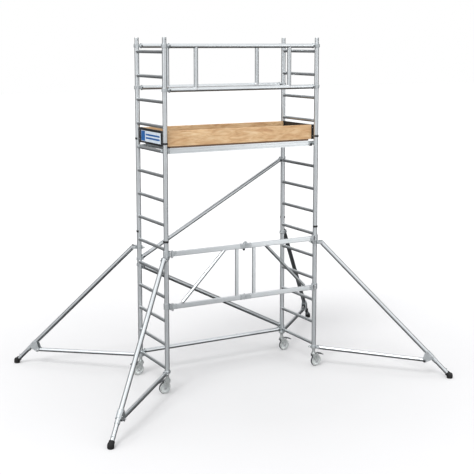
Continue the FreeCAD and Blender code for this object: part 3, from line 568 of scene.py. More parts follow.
def paint(obj, finish):
    obj.data.materials.clear()
    obj.data.materials.append(materials[finish])
    return obj


def piece(objs, name, body, nodes):
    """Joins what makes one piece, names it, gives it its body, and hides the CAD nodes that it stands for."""
    obj = joined(objs)
    only(obj)
    bpy.ops.object.shade_smooth_by_angle(angle=math.radians(34))
    apply_modifier(obj, "WEIGHTED_NORMAL", keep_sharp=True)
    obj.name = name
    obj.data.name = name
    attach(obj, body)
    if nodes:
        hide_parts(*nodes)
    return obj


def at_corners(parts, name, body, node, angle_of):
    """The same piece at each of the four corners, each with its own mesh.

    body and node are patterns with {} for the corner's name.
    """
    shape = joined(parts)
    for corner in CORNERS:
        copy = duplicate(shape, corner_place(corner, angle_of(corner)))
        nodes = [node.format(corner)] if node else []
        piece([copy], f"{name}_{corner}", body.format(corner), nodes)
    pattern(shape)


def outward(corner):
    return CORNERS[corner][2]


def heading(corner):
    return 0.0 if corner.endswith("right") else 180.0


# --- fasteners ------------------------------------------------------------------------
def hex_head(radius, height):
    """A bolt head standing on z = 0, chamfered, with a washer under it."""
    head = turned([(radius * 0.86, 0.0), (radius, height * 0.12), (radius, height * 0.78),
                   (radius * 0.86, height)], sides=6)
    washer = turned([(radius * 1.25, -0.0012), (radius * 1.25, 0.0008)], sides=24)
    soften(washer, 0.0003, 1)
    return joined([head, washer])


def dome_head(radius, height):
    """A round rivet head standing on z = 0."""
    return turned([(radius, 0.0), (radius, height * 0.3), (radius * 0.86, height * 0.65),
                   (radius * 0.55, height * 0.9), (radius * 0.2, height)], sides=16)


def cross_bolt(centre, half_width, radius):
    """A bolt along Y through centre, with a hex head at one end and a nut at the other."""
    centre = Vector(centre)
    parts = []
    for side in (-1, 1):
        head = hex_head(radius * 1.65, radius * 1.1)
        parts.append(put(head, toward(centre + Y_AXIS * side * half_width, Y_AXIS * side)))
    tip = turned([(radius, 0.0), (radius, radius * 2.0), (radius * 0.8, radius * 2.3)], sides=20)
    parts.append(put(tip, toward(centre + Y_AXIS * half_width, Y_AXIS)))
    return parts


# --- ladder frames --------------------------------------------------------------------
upright_tube = tube_pattern(UPRIGHT_R)
rung_tube = tube_pattern(RUNG_R, sides=60, flutes=0.00045)
RUNG_END = 0.0165       # from the upright's axis to where the rung meets its wall


def ladder_frames():
    bead = weld_bead(RUNG_R, UPRIGHT_R)
    for storey, (first, count) in STOREYS.items():
        low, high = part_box(f"{storey}_ladder_left")
        uprights = []
        rungs = []
        welds = []
        for side in (-1, 1):
            y = side * HALF_Y
            uprights.append(tube(upright_tube, (0, y, low.z), (0, y, high.z)))
        for number in range(first, first + count):
            z = FIRST_RUNG_Z + RUNG_PITCH * number
            reach = HALF_Y - RUNG_END
            rungs.append(tube(rung_tube, (0, -reach, z), (0, reach, z)))
            welds.append(duplicate(bead, moved(0, -HALF_Y, z)))
            welds.append(duplicate(bead, moved(0, HALF_Y, z) @ turned_by(180)))
        for group, finish in ((uprights, "aluminium_upright"), (rungs, "aluminium_rung"),
                              (welds, "weld_metal")):
            for obj in group:
                paint(obj, finish)
        shape = joined(uprights + rungs + welds)
        for side, name in ((-1, "left"), (1, "right")):
            copy = duplicate(shape, moved(side * HALF_X, 0, 0))
            node = f"{storey}_ladder_{name}"
            piece([copy], f"{storey}_frame_{name}", "tower", [node])
        pattern(shape)


def storey_joints():
    """The z of each storey's top joint."""
    return [FIRST_RUNG_Z + RUNG_PITCH * (first + count - 1) + 0.085 for first, count in STOREYS.values()]


def spigots():
    radius = 0.0217
    inner = radius - 0.003
    profile = [(inner, -0.08), (radius - 0.0012, -0.08), (radius, -0.0785), (radius, -0.002),
               (UPRIGHT_R - 0.0004, -0.002),
               (UPRIGHT_R, -0.0016), (UPRIGHT_R, 0.0016), (UPRIGHT_R - 0.0004, 0.002), (radius, 0.002),
               (radius, 0.056),
               (radius - 0.0016, 0.06), (inner, 0.06)]
    sleeve = turned(profile, sides=48, closed=True)
    clear_selection()
    bpy.ops.mesh.primitive_cylinder_add(vertices=20, radius=0.0045, depth=0.08,
                                        rotation=(math.radians(90), 0, 0),
                                        location=(0, 0, 0.036))
    drill = bpy.context.object
    apply_modifier(sleeve, "BOOLEAN", object=drill, operation="DIFFERENCE", solver="EXACT")
    bpy.data.objects.remove(drill)
    paint(sleeve, "aluminium_upright")
    copies = [duplicate(sleeve, moved(x, y, z)) for z in storey_joints() for x, y, _ in CORNERS.values()]
    piece(copies, "spigot_sleeves", "tower", ["ladder_spigots"])
    pattern(sleeve)


def c_outline(inner, outer, mouth, width, lip=0.0):
    """A C-shaped outline about the origin, open at mouth degrees by width degrees, with rounded lips."""
    start = mouth + width / 2
    end = mouth + 360 - width / 2
    outline = arc(0, 0, outer, start, end, 36)
    middle = (inner + outer) / 2
    half = (outer - inner) / 2 + lip
    tip = math.radians(end)
    outline += arc(middle * math.cos(tip), middle * math.sin(tip), half, end, end + 180, 6)[1:-1]
    outline += arc(0, 0, inner, end, start, 36)
    tip = math.radians(start)
    outline += arc(middle * math.cos(tip), middle * math.sin(tip), half, start + 180, start + 360, 6)[1:-1]
    return outline


def spigot_clips():
    """Sprung black clips round the storey joints, with a button over the locking hole."""
    inner = UPRIGHT_R + 0.0001
    band = flat_part([c_outline(inner, inner + 0.003, 0, 140)], -0.011, 0.011, 0.0007)
    pad = block(-inner - 0.0052, -inner - 0.001, -0.009, 0.009, -0.0075, 0.0075, 0.0016, 3)
    button = turned([(0.0052, 0.0), (0.0052, 0.0025), (0.004, 0.0036)], sides=20)
    put(button, toward((-inner - 0.004, 0, 0), (-1, 0, 0)))
    tab = block(-0.004, 0.004, inner, inner + 0.007, -0.0095, 0.0095, 0.0016, 3)
    shape = joined([band, pad, button, tab])
    paint(shape, "moulded_black")
    copies = []
    for z in storey_joints()[:-1]:
        for x, y, _ in CORNERS.values():
            mouth = math.degrees(math.atan2(-y, -x * 0.25))
            copies.append(duplicate(shape, moved(x, y, z) @ turned_by(mouth)))
    piece(copies, "joint_clips", "tower", ["spigot_clips"])
    pattern(shape)


# --- braces, guard frames and their claws ---------------------------------------------
CLAW_REACH = 0.058
BRACE_CLAW_HEIGHT = 0.028
GUARD_CLAW_HEIGHT = 0.036
REAR_BRACES = {             # left height, right height, tube radius
    "rear_diagonal_upper": (1.292, 2.290, 0.021),
    "rear_diagonal_lower": (1.228, 0.294, 0.024),
    "rear_horizontal_brace": (0.261, 0.261, 0.023),
}
GUARD_HEIGHTS = (3.569, 3.132)
GUARD_RAIL_R = 0.023
GUARD_POST_R = 0.022
GUARD_POST_X = 0.555


def claw(height, tube_r):
    """A cast claw on an upright at the origin, open towards +Y, with its socket towards +X.

    The hook comes first, then the parts that lean with the tube.
    """
    inner = UPRIGHT_R + 0.0001
    half = height / 2
    hook = flat_part([c_outline(inner, 0.0315, 90, 100, 0.0006)], -half, half, 0.0016, 2)
    web = block(0.0255, 0.047, -0.0105, 0.0105, -half * 0.94, half * 0.94, 0.0035, 3)
    socket_r = tube_r + 0.0025
    neck = turned([(0.0125, 0.0265), (0.0138, 0.030), (0.0138, 0.039), (0.0165, 0.0428),
                   (socket_r - 0.001, 0.0445),
                   (socket_r, 0.0458), (socket_r, 0.0567), (socket_r - 0.001, CLAW_REACH),
                   (tube_r, CLAW_REACH + 0.0004)], sides=36)
    collar = turned([(socket_r - 0.0004, 0.0455), (socket_r + 0.0012, 0.0462), (socket_r + 0.0012, 0.0488),
                     (socket_r - 0.0004, 0.0495)], sides=36)
    for part in (neck, collar):
        put(part, turned_by(90, "Y"))
    rivets = []
    for side in (-1, 1):
        rivet = dome_head(0.0034, 0.002)
        rivets.append(put(rivet, toward((0.053, 0, side * (socket_r - 0.0004)), Z_AXIS * side)))
    return [paint(part, "cast_alloy") for part in [hook, web, neck, collar] + rivets]


def trigger(tube_r):
    """The claw's release: a round black press button on each side of the socket."""
    reach = tube_r + 0.0025
    parts = []
    for side in (-1, 1):
        skirt = turned([(0.0075, 0.0), (0.0075, 0.0026), (0.0066, 0.0034), (0.006, 0.0036), (0.006, 0.0068),
                        (0.0052, 0.0078), (0.0036, 0.0074)], sides=24)
        parts.append(put(skirt, toward((0.051, side * (reach - 0.0012), 0), Y_AXIS * side)))
    return [paint(part, "moulded_black") for part in parts]


def hooked_tube(shape, start, end, claw_shape, trigger_shape):
    """A tube between two uprights, with its claws and triggers: three lists of meshes."""
    start = Vector(start)
    end = Vector(end)
    direction = (end - start).normalized()
    body = tube(shape, start + direction * CLAW_REACH * 0.8, end - direction * CLAW_REACH * 0.8)
    claws = []
    triggers = []
    slope = math.degrees(math.atan2(direction.z, direction.x))
    opening = -1 if start.y > 0 else 1
    for point, flip in ((start, 1), (end, -1)):
        upright = moved(*point) @ Matrix.Diagonal((flip, opening, 1, 1))
        lean = moved(*point) @ turned_by(-slope, "Y") @ Matrix.Diagonal((flip, opening, 1, 1))
        claws.append(duplicate(claw_shape[0], upright))
        claws.append(duplicate(claw_shape[1], lean))
        triggers.append(duplicate(trigger_shape, lean))
    return body, claws, triggers


def braces_and_guards():
    claws = []
    triggers = []
    shapes = {}

    def claw_set(height, tube_r):
        if (height, tube_r) not in shapes:
            parts = claw(height, tube_r)
            hook = pattern(joined(parts[:2]))
            socket = pattern(joined(parts[2:]))
            shapes[(height, tube_r)] = ((hook, socket), pattern(joined(trigger(tube_r))))
        return shapes[(height, tube_r)]

    for node, (left_z, right_z, radius) in REAR_BRACES.items():
        claw_shape, trigger_shape = claw_set(BRACE_CLAW_HEIGHT, radius)
        ends = ((-HALF_X, HALF_Y, left_z), (HALF_X, HALF_Y, right_z))
        body, new_claws, new_triggers = hooked_tube(tube_pattern(radius), *ends, claw_shape, trigger_shape)
        # the rear diagonals take the darker aluminium copy, which is painted shade
        finish = "aluminium_rail" if left_z == right_z else "aluminium_painted_shade"
        piece([paint(body, finish)], node + "_tube", "tower", [node])
        claws += new_claws
        triggers += new_triggers

    rail_tube = tube_pattern(GUARD_RAIL_R)
    post_tube = tube_pattern(GUARD_POST_R)
    bead = weld_bead(GUARD_POST_R, GUARD_RAIL_R)
    for node, y in (("guard_frame_front", -HALF_Y), ("guard_frame_rear", HALF_Y)):
        parts = []
        for z in GUARD_HEIGHTS:
            claw_shape, trigger_shape = claw_set(GUARD_CLAW_HEIGHT, GUARD_RAIL_R)
            ends = ((-HALF_X, y, z), (HALF_X, y, z))
            body, new_claws, new_triggers = hooked_tube(rail_tube, *ends, claw_shape, trigger_shape)
            parts.append(paint(body, "aluminium_rail"))
            claws += new_claws
            triggers += new_triggers
        top, bottom = GUARD_HEIGHTS
        gap = math.sqrt(GUARD_RAIL_R ** 2 - GUARD_POST_R ** 2)
        for x in (-GUARD_POST_X, GUARD_POST_X):
            post = tube(post_tube, (x, y, bottom + gap), (x, y, top - gap))
            parts.append(paint(post, "aluminium_upright"))
            for z, up in ((bottom, 1), (top, -1)):
                weld = duplicate(bead, facing((x, y, z), Y_AXIS * up, X_AXIS * 1))
                parts.append(paint(weld, "weld_metal"))
        piece(parts, node + "_tubes", "tower", [node])
    piece(claws, "claw_castings", "tower", ["claw_hooks"])
    return triggers


# --- platform -------------------------------------------------------------------------
DECK_LOW, DECK_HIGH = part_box("platform_deck")
RAIL_LOW, RAIL_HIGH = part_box("platform_frame")
RAIL_DEPTH = 0.025
CROSS_SIZE = 0.03
CROSS_BARS_X = (-0.82, -0.14, 0.17, 0.5, 0.82)
PLATFORM_RUNG_Z = FIRST_RUNG_Z + RUNG_PITCH * 9
PANEL_LOW, PANEL_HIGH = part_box("hatch_panel")
HATCH_GAP = 0.004


def platform_rail_outline():
    """The side rail's section: x across its depth with the outer face at +, y up; a box with two grooves."""
    half = RAIL_DEPTH / 2
    top = (RAIL_HIGH.z - RAIL_LOW.z) / 2
    outer = [(-half, -top), (half, -top)]
    for groove in (-0.0125, 0.0125):
        outer += [(half, groove - 0.0035), (half - 0.0022, groove - 0.0022), (half - 0.0022, groove + 0.0022),
                  (half, groove + 0.0035)]
    outer += [(half, top), (-half, top)]
    hollow = rounded_box(RAIL_DEPTH - 0.009, 2 * top - 0.006, 0.002)
    return [outer, hollow]


def platform_frame():
    parts = []
    middle = (RAIL_LOW.z + RAIL_HIGH.z) / 2
    length = RAIL_HIGH.x - RAIL_LOW.x
    rail = flat_part(platform_rail_outline(), -length / 2, length / 2, 0.0005)
    for side in (-1, 1):
        place = facing((0, side * (RAIL_HIGH.y - RAIL_DEPTH / 2), middle), Y_AXIS * side, X_AXIS * side)
        parts.append(paint(duplicate(rail, place), "aluminium_rail"))
    pattern(rail)
    reach = RAIL_HIGH.y - RAIL_DEPTH
    section = [rounded_box(CROSS_SIZE, CROSS_SIZE, 0.0025), rounded_box(CROSS_SIZE - 0.004,
                                                                        CROSS_SIZE - 0.004, 0.001)]
    bar = flat_part(section, -reach, reach, 0.0004)
    for x in CROSS_BARS_X:
        place = facing((x, 0, RAIL_HIGH.z - CROSS_SIZE / 2), X_AXIS, Y_AXIS)
        parts.append(paint(duplicate(bar, place), "aluminium_rung"))
        for side in (-1, 1):
            for foot in (-1, 1):
                weld = block(x - 0.0145, x + 0.0145, -0.0015, 0.0015, -0.0015, 0.0015, 0.0009)
                put(weld,
                    moved(0, side * (reach - 0.0004),
                          RAIL_HIGH.z - CROSS_SIZE / 2 + foot * CROSS_SIZE / 2 * 0.97))
                parts.append(paint(weld, "weld_metal"))
    pattern(bar)
    piece(parts, "platform_rails", "tower", ["platform_frame"])


def platform_deck():
    """The film-faced board, with its opening, sealed edges and countersunk screws."""
    width = DECK_HIGH.x - DECK_LOW.x
    depth = DECK_HIGH.y - DECK_LOW.y
    opening_x = (PANEL_LOW.x + PANEL_HIGH.x) / 2
    hole = rounded_box(PANEL_HIGH.x - PANEL_LOW.x + 2 * HATCH_GAP, 0.476, 0.003, 3, opening_x)
    board = flat_part([rounded_box(width, depth, 0.002, 3), hole], DECK_LOW.z, DECK_HIGH.z, 0.0008)
    paint(board, "deck_film")
    board.data.materials.append(materials["deck_edge"])
    for face in board.data.polygons:
        if abs(face.normal.z) < 0.5:
            face.material_index = 1
    screws = []
    for x in CROSS_BARS_X:
        for y in (-0.25, -0.085, 0.085, 0.25):
            if PANEL_LOW.x < x < PANEL_HIGH.x:
                continue
            screw = dome_head(0.0055, 0.0014)
            screws.append(paint(put(screw, moved(x, y, DECK_HIGH.z - 0.0003)), "bright_steel"))
    for side in (-1, 1):
        for step in range(9):
            x = -0.78 + 0.195 * step
            screw = dome_head(0.0045, 0.0012)
            screws.append(paint(put(screw, moved(x, side * 0.268, DECK_HIGH.z - 0.0003)), "bright_steel"))
    piece([board] + screws, "deck_board", "tower", ["platform_deck"])


def hatch():
    low, high = PANEL_LOW, PANEL_HIGH
    top = DECK_HIGH.z - 0.0005
    half_y = 0.234
    middle_x = (low.x + high.x) / 2
    panel = flat_part([rounded_box(high.x - low.x, 2 * half_y, 0.012, 5, middle_x)], low.z, top, 0.001)
    paint(panel, "deck_film")
    panel.data.materials.append(materials["deck_edge"])
    for face in panel.data.polygons:
        if abs(face.normal.z) < 0.5:
            face.material_index = 1
    parts = [panel]
    hinge_y = 0.246
    hinge_z = DECK_HIGH.z + 0.009
    for x in (-0.640, -0.345):
        barrel = turned([(0.0042, 0.0), (0.0076, 0.0), (0.008, 0.0005), (0.008, 0.0595), (0.0076, 0.06),
                         (0.0042, 0.06)],
                        sides=28, closed=True)
        put(barrel, facing((x, hinge_y, hinge_z), Z_AXIS, X_AXIS))
        leaf = block(x + 0.0003, x + 0.0597, half_y - 0.034, hinge_y, DECK_HIGH.z - 0.0004,
                     DECK_HIGH.z + 0.003, 0.0008)
        lug = block(x + 0.0006, x + 0.0594, hinge_y - 0.0078, hinge_y - 0.004, DECK_HIGH.z, hinge_z, 0.0008)
        for part in (barrel, leaf, lug):
            parts.append(paint(part, "bright_steel"))
        for step in (0.012, 0.03, 0.048):
            screw = dome_head(0.0038, 0.0016)
            put(screw, moved(x + step, half_y - 0.022, DECK_HIGH.z + 0.0028))
            parts.append(paint(screw, "bright_steel"))
    handle_low, handle_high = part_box("hatch_handle")
    pivot_x = (handle_low.x + handle_high.x) / 2
    pivot_y = handle_high.y - 0.0038
    pivot_z = DECK_HIGH.z + 0.005
    for side in (-1, 1):
        x = pivot_x + side * 0.054
        outline = [(-0.007, -0.0052), (0.007, -0.0052)] + arc(0, 0, 0.0062, 0, 180, 10)
        eye = flat_part([outline, circle(0, 0, 0.0039)], -0.004, 0.004, 0.0005)
        parts.append(paint(put(eye, facing((x, pivot_y, pivot_z), Y_AXIS, X_AXIS)), "bright_steel"))
    plate = block(pivot_x - 0.068, pivot_x + 0.068, pivot_y - 0.0585, pivot_y + 0.014, top - 0.0006,
                  top + 0.0011, 0.0005)
    parts.append(paint(plate, "bright_steel"))
    piece(parts, "hatch_board", "hatch", ["hatch_panel"])

    half = 0.045
    clear_selection()
    curve = bpy.data.curves.new("bail", "CURVE")
    curve.dimensions = "3D"
    curve.bevel_depth = 0.0032
    curve.bevel_resolution = 5
    curve.use_fill_caps = True
    path = [(-half, 0.0), (-half, -0.03)] + arc(-half + 0.012, -0.03, 0.012, 180, 270, 6)[1:]
    path += arc(half - 0.012, -0.03, 0.012, 270, 360, 6) + [(half, 0.0)]
    spline = curve.splines.new("POLY")
    spline.points.add(len(path) - 1)
    for point, (x, y) in zip(spline.points, path):
        point.co = (pivot_x + x, pivot_y + y, pivot_z, 1)
    bail = bpy.data.objects.new("bail", curve)
    bpy.context.scene.collection.objects.link(bail)
    only(bail)
    bpy.ops.object.convert(target="MESH")
    bail = mend(bpy.context.object)
    rod = turned([(0.0032, 0.0), (0.0038, 0.001), (0.0038, 0.117), (0.0032, 0.118)], sides=24)
    put(rod, facing((pivot_x - 0.059, pivot_y, pivot_z), Z_AXIS, X_AXIS))
    piece([paint(bail, "bright_steel"), paint(rod, "bright_steel")], "lifting_handle", "hatch_handle",
          ["hatch_handle"])
    paint(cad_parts["hatch_hinge"], "bright_steel")


def platform_hooks():
    """Cast hooks over the platform's rungs, and their black catches."""
    z = PLATFORM_RUNG_Z
    seat = RUNG_R + 0.0002
    outer = 0.027
    outline = [(RAIL_HIGH.x, RAIL_LOW.z + 0.003), (RAIL_HIGH.x + 0.014, RAIL_LOW.z + 0.003)]
    outline += [(HALF_X - outer + 0.001, z - 0.009), (HALF_X - seat * 0.78, z - 0.009)]
    outline += arc(HALF_X, z, seat, 218, -38, 18)
    outline += arc(HALF_X, z, outer, -22, 112, 14)
    outline += [(RAIL_HIGH.x + 0.012, RAIL_HIGH.z - 0.006), (RAIL_HIGH.x, RAIL_HIGH.z - 0.003)]
    body = flat_part([outline], -0.011, 0.011, 0.0018, 2)
    stiffener = block(RAIL_HIGH.x + 0.003, HALF_X - outer + 0.004, z + 0.004, z + 0.012, -0.0128, 0.0128,
                      0.002, 3)
    bolt_heads = []
    for side in (-1, 1):
        bolt_heads.append(put(hex_head(0.006, 0.0035), toward((RAIL_HIGH.x + 0.012, z - 0.008, side * 0.0112),
                                                              Z_AXIS * side)))
    hook = joined([body, stiffener] + bolt_heads)
    paint(hook, "cast_alloy")
    catch_x = HALF_X - outer - 0.010
    lever = [(catch_x - 0.009, z - 0.023), (catch_x + 0.012, z - 0.023), (catch_x + 0.017, z - 0.016),
             (catch_x + 0.007, z - 0.012), (catch_x + 0.007, z + 0.003), (catch_x - 0.007, z + 0.003)]
    catches = []
    for side in (-1, 1):
        plate = flat_part([lever], 0.012, 0.0165, 0.001) if side > 0 else flat_part([lever], -0.0165,
                                                                                    -0.012, 0.001)
        catches.append(plate)
    catches.append(block(catch_x - 0.009, catch_x + 0.014, z - 0.026, z - 0.020, -0.0165, 0.0165, 0.0016, 3))
    catch = joined(catches)
    paint(catch, "moulded_black")
    hooks = []
    levers = []
    y = RAIL_HIGH.y - RAIL_DEPTH / 2
    for x_side in (-1, 1):
        for y_side in (-1, 1):
            upright = Matrix(((x_side, 0, 0, 0), (0, 0, 1, y_side * y), (0, 1, 0, 0), (0, 0, 0, 1)))
            hooks.append(duplicate(hook, upright))
            levers.append(duplicate(catch, upright))
    piece(hooks, "platform_hook_castings", "tower", ["platform_hooks"])
    pattern(hook)
    pattern(catch)
    return levers


def toe_boards():
    for node in ("toe_board_front", "toe_board_rear"):
        low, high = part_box(node)
        board = block(low.x, high.x, low.y, high.y, low.z, high.z, 0.0025, 3)
        piece([paint(board, "pine_along")], node + "_plank", "tower", [node])
    low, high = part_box("toe_board_ends")
    boards = []
    thick = 0.02
    for side in (-1, 1):
        xs = sorted((side * high.x, side * (high.x - thick)))
        boards.append(paint(block(*xs, low.y, high.y, low.z, high.z, 0.002, 3), "black_board"))
    piece(boards, "toe_board_end_planks", "tower", ["toe_board_ends"])

    low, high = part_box("toe_board_corners")
    plank_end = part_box("toe_board_front")[1].x
    end_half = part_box("toe_board_ends")[1].y
    width = high.x - plank_end
    depth = high.y - end_half
    section = [rounded_box(width, depth, 0.0022), rounded_box(width - 0.006, depth - 0.006, 0.0008)]
    post = flat_part(section, low.z, high.z, 0.0005)
    cap = block(-width / 2 + 0.0008, width / 2 - 0.0008, -depth / 2 + 0.0008, depth / 2 - 0.0008,
                high.z - 0.003, high.z - 0.0004, 0.0008)
    paint(post, "moulded_black")
    paint(cap, "moulded_black")
    heads = []
    for z in (low.z + 0.035, high.z - 0.035):
        heads.append(paint(put(dome_head(0.0045, 0.0022), toward((0, -depth / 2, z), -Y_AXIS)),
                           "bright_steel"))
        heads.append(paint(put(dome_head(0.0045, 0.0022), toward((width / 2 - 0.0004, 0, z), X_AXIS)),
                           "bright_steel"))
    shape = joined([post, cap] + heads)
    posts = []
    for x_side in (-1, 1):
        for y_side in (-1, 1):
            centre = moved(x_side * (plank_end + width / 2), y_side * (end_half + depth / 2), 0)
            posts.append(duplicate(shape, centre @ Matrix.Diagonal((x_side, -y_side, 1, 1))))
    piece(posts, "toe_board_posts", "tower", ["toe_board_corners"])
    pattern(shape)


def name_plate():
    """A plain plate on the left end board: pale field, a blue panel at one end and two thin bars."""
    low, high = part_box("name_plate")
    face = low.x
    plate = block(face + 0.0004, high.x, low.y, high.y, low.z, high.z, 0.0006)
    parts = [paint(plate, "plate_dark")]
    rim = 0.006
    field = block(face, face + 0.0012, low.y + rim, high.y - rim, low.z + rim, high.z - rim, 0.0003)
    parts.append(paint(field, "plate_pale"))
    panel_end = high.y - rim - 0.004
    panel_start = panel_end - (high.z - low.z) * 0.78
    panel = block(face - 0.0004, face + 0.0012, panel_start, panel_end, low.z + rim + 0.004,
                  high.z - rim - 0.004, 0.0002)
    parts.append(paint(panel, "plate_blue"))
    for share in (0.36, 0.64):
        z = low.z + (high.z - low.z) * share
        bar = block(face - 0.0004, face + 0.0012, low.y + 0.03, panel_start - 0.02, z - 0.009, z + 0.009,
                    0.0002)
        parts.append(paint(bar, "plate_blue"))
    for y in (low.y + 0.0035, high.y - 0.0035):
        for z in (low.z + 0.0035, high.z - 0.0035):
            rivet = put(dome_head(0.0024, 0.001), toward((face + 0.0004, y, z), -X_AXIS))
            parts.append(paint(rivet, "bright_steel"))
    piece(parts, "end_board_plate", "tower", ["name_plate"])


# --- folding base frame ---------------------------------------------------------------
FOLD_Y = -0.378
FOLD_DEPTH = 0.026
FOLD_HEIGHT = 0.05
FOLD_PIVOT_X = 0.857
FOLD_HEIGHTS = (1.472, 0.921)
FOLD_POST_X = 0.104
FOLD_STAY_R = 0.017
FOLD_STAY = ((0.252, 1.452), (0.742, 0.954))
END_FITTING_X = 0.822
CENTRE_FITTING_X = 0.062
CENTRE_GAP = 0.001
CENTRE_PIN_Y = FOLD_Y + FOLD_DEPTH / 2 + 0.009
LOCK_X = -0.018


def fold_rail(side, z):
    """One rail of the folding frame: a rounded rectangular tube."""
    section = [rounded_box(FOLD_DEPTH, FOLD_HEIGHT, 0.0045, 5),
               rounded_box(FOLD_DEPTH - 0.004, FOLD_HEIGHT - 0.004, 0.0026, 5)]
    length = END_FITTING_X - CENTRE_FITTING_X
    rail = flat_part(section, 0, length, 0.0003)
    start = (side * CENTRE_FITTING_X, FOLD_Y, z)
    return paint(put(rail, facing(start, Y_AXIS * side, X_AXIS * side)), "aluminium_rail")


def fold_end(side, z):
    """The casting at a rail's outer end: an eye on the left, an open fork on the right."""
    half = FOLD_DEPTH / 2
    if side < 0:
        outline = [(0.037, -half), (0.037, half)] + arc(0, 0, half, 90, 270, 14)
        outlines = [outline, circle(0, 0, 0.0061, 24)]
    else:
        outline = [(0.037, -half), (0.037, half), (0.0003, half)]
        outline += arc(0, 0, 0.0073, 90, -90, 12) + [(0.0003, -half)]
        outlines = [outline]
    half_height = FOLD_HEIGHT / 2
    body = flat_part(outlines, -half_height, half_height, 0.0012, 2)
    plug = block(0.0335, 0.0475, -half - 0.0012, half + 0.0012, -half_height - 0.0012, half_height + 0.0012,
                 0.002, 3)
    bolt = put(hex_head(0.0052, 0.003), toward((0.0415, -half - 0.0012, 0.008), -Y_AXIS))
    rivet = put(dome_head(0.0045, 0.002), toward((0.0415, -half - 0.001, -0.012), -Y_AXIS))
    shape = joined([paint(part, "cast_alloy") for part in (body, plug)] +
                   [paint(part, "bright_steel") for part in (bolt, rivet)])
    return put(shape, moved(side * FOLD_PIVOT_X, FOLD_Y, z) @ Matrix.Diagonal((-side, 1, 1, 1)))


def fold_centre(side, z):
    """Half of the centre joint: a cast block with hinge knuckles behind and half an arch above."""
    half = FOLD_DEPTH / 2
    half_height = FOLD_HEIGHT / 2
    parts = []
    block_x = sorted((side * CENTRE_GAP, side * (CENTRE_FITTING_X + 0.004)))
    parts.append(block(*block_x, FOLD_Y - half - 0.0008, FOLD_Y + half, z - half_height - 0.0008,
                       z + half_height + 0.0008, 0.0022, 3))
    band_x = sorted((side * 0.046, side * (CENTRE_FITTING_X + 0.006)))
    parts.append(block(*band_x, FOLD_Y - half - 0.002, FOLD_Y + half + 0.001, z - half_height - 0.002,
                       z + half_height + 0.002, 0.0018, 3))
    if z == FOLD_HEIGHTS[0]:
        cheek = [(CENTRE_GAP, -0.006), (0.0245, -0.006)] + arc(0, 0, 0.024, 4, 87, 10)
        hump = flat_part([cheek], -0.0065, 0.0065, 0.002, 2)
        place = Matrix(((side, 0, 0, 0), (0, 0, 1, FOLD_Y), (0, 1, 0, z + half_height), (0, 0, 0, 1)))
        parts.append(put(hump, place))
    back = FOLD_Y + half
    knuckle = FOLD_HEIGHT / 3
    low = z - half_height
    high = z + half_height
    if side < 0:
        spans = ((low, low + knuckle - 0.0004), (high - knuckle + 0.0004, high))
    else:
        spans = ((low + knuckle, high - knuckle),)
    for z0, z1 in spans:
        leaf_x = sorted((side * 0.001, side * 0.04))
        parts.append(block(*leaf_x, back - 0.0005, back + 0.0035, z0, z1, 0.001))
        height = z1 - z0
        barrel = turned([(0.0041, 0.0), (0.0071, 0.0), (0.0075, 0.0005), (0.0075, height - 0.0005),
                         (0.0071, height), (0.0041, height)], sides=28, closed=True)
        parts.append(put(barrel, moved(0, CENTRE_PIN_Y, z0)))
        web_x = sorted((side * 0.0044, side * 0.0072))
        parts.append(block(*web_x, back, CENTRE_PIN_Y, z0 + 0.0002, z1 - 0.0002, 0.0006))
    paints = [paint(part, "cast_alloy") for part in parts]
    for dz in (-0.013, 0.013):
        rivet = dome_head(0.0042, 0.002)
        paints.append(paint(put(rivet, toward((side * 0.054, FOLD_Y - half - 0.0018, z + dz), -Y_AXIS)),
                            "bright_steel"))
    return joined(paints)


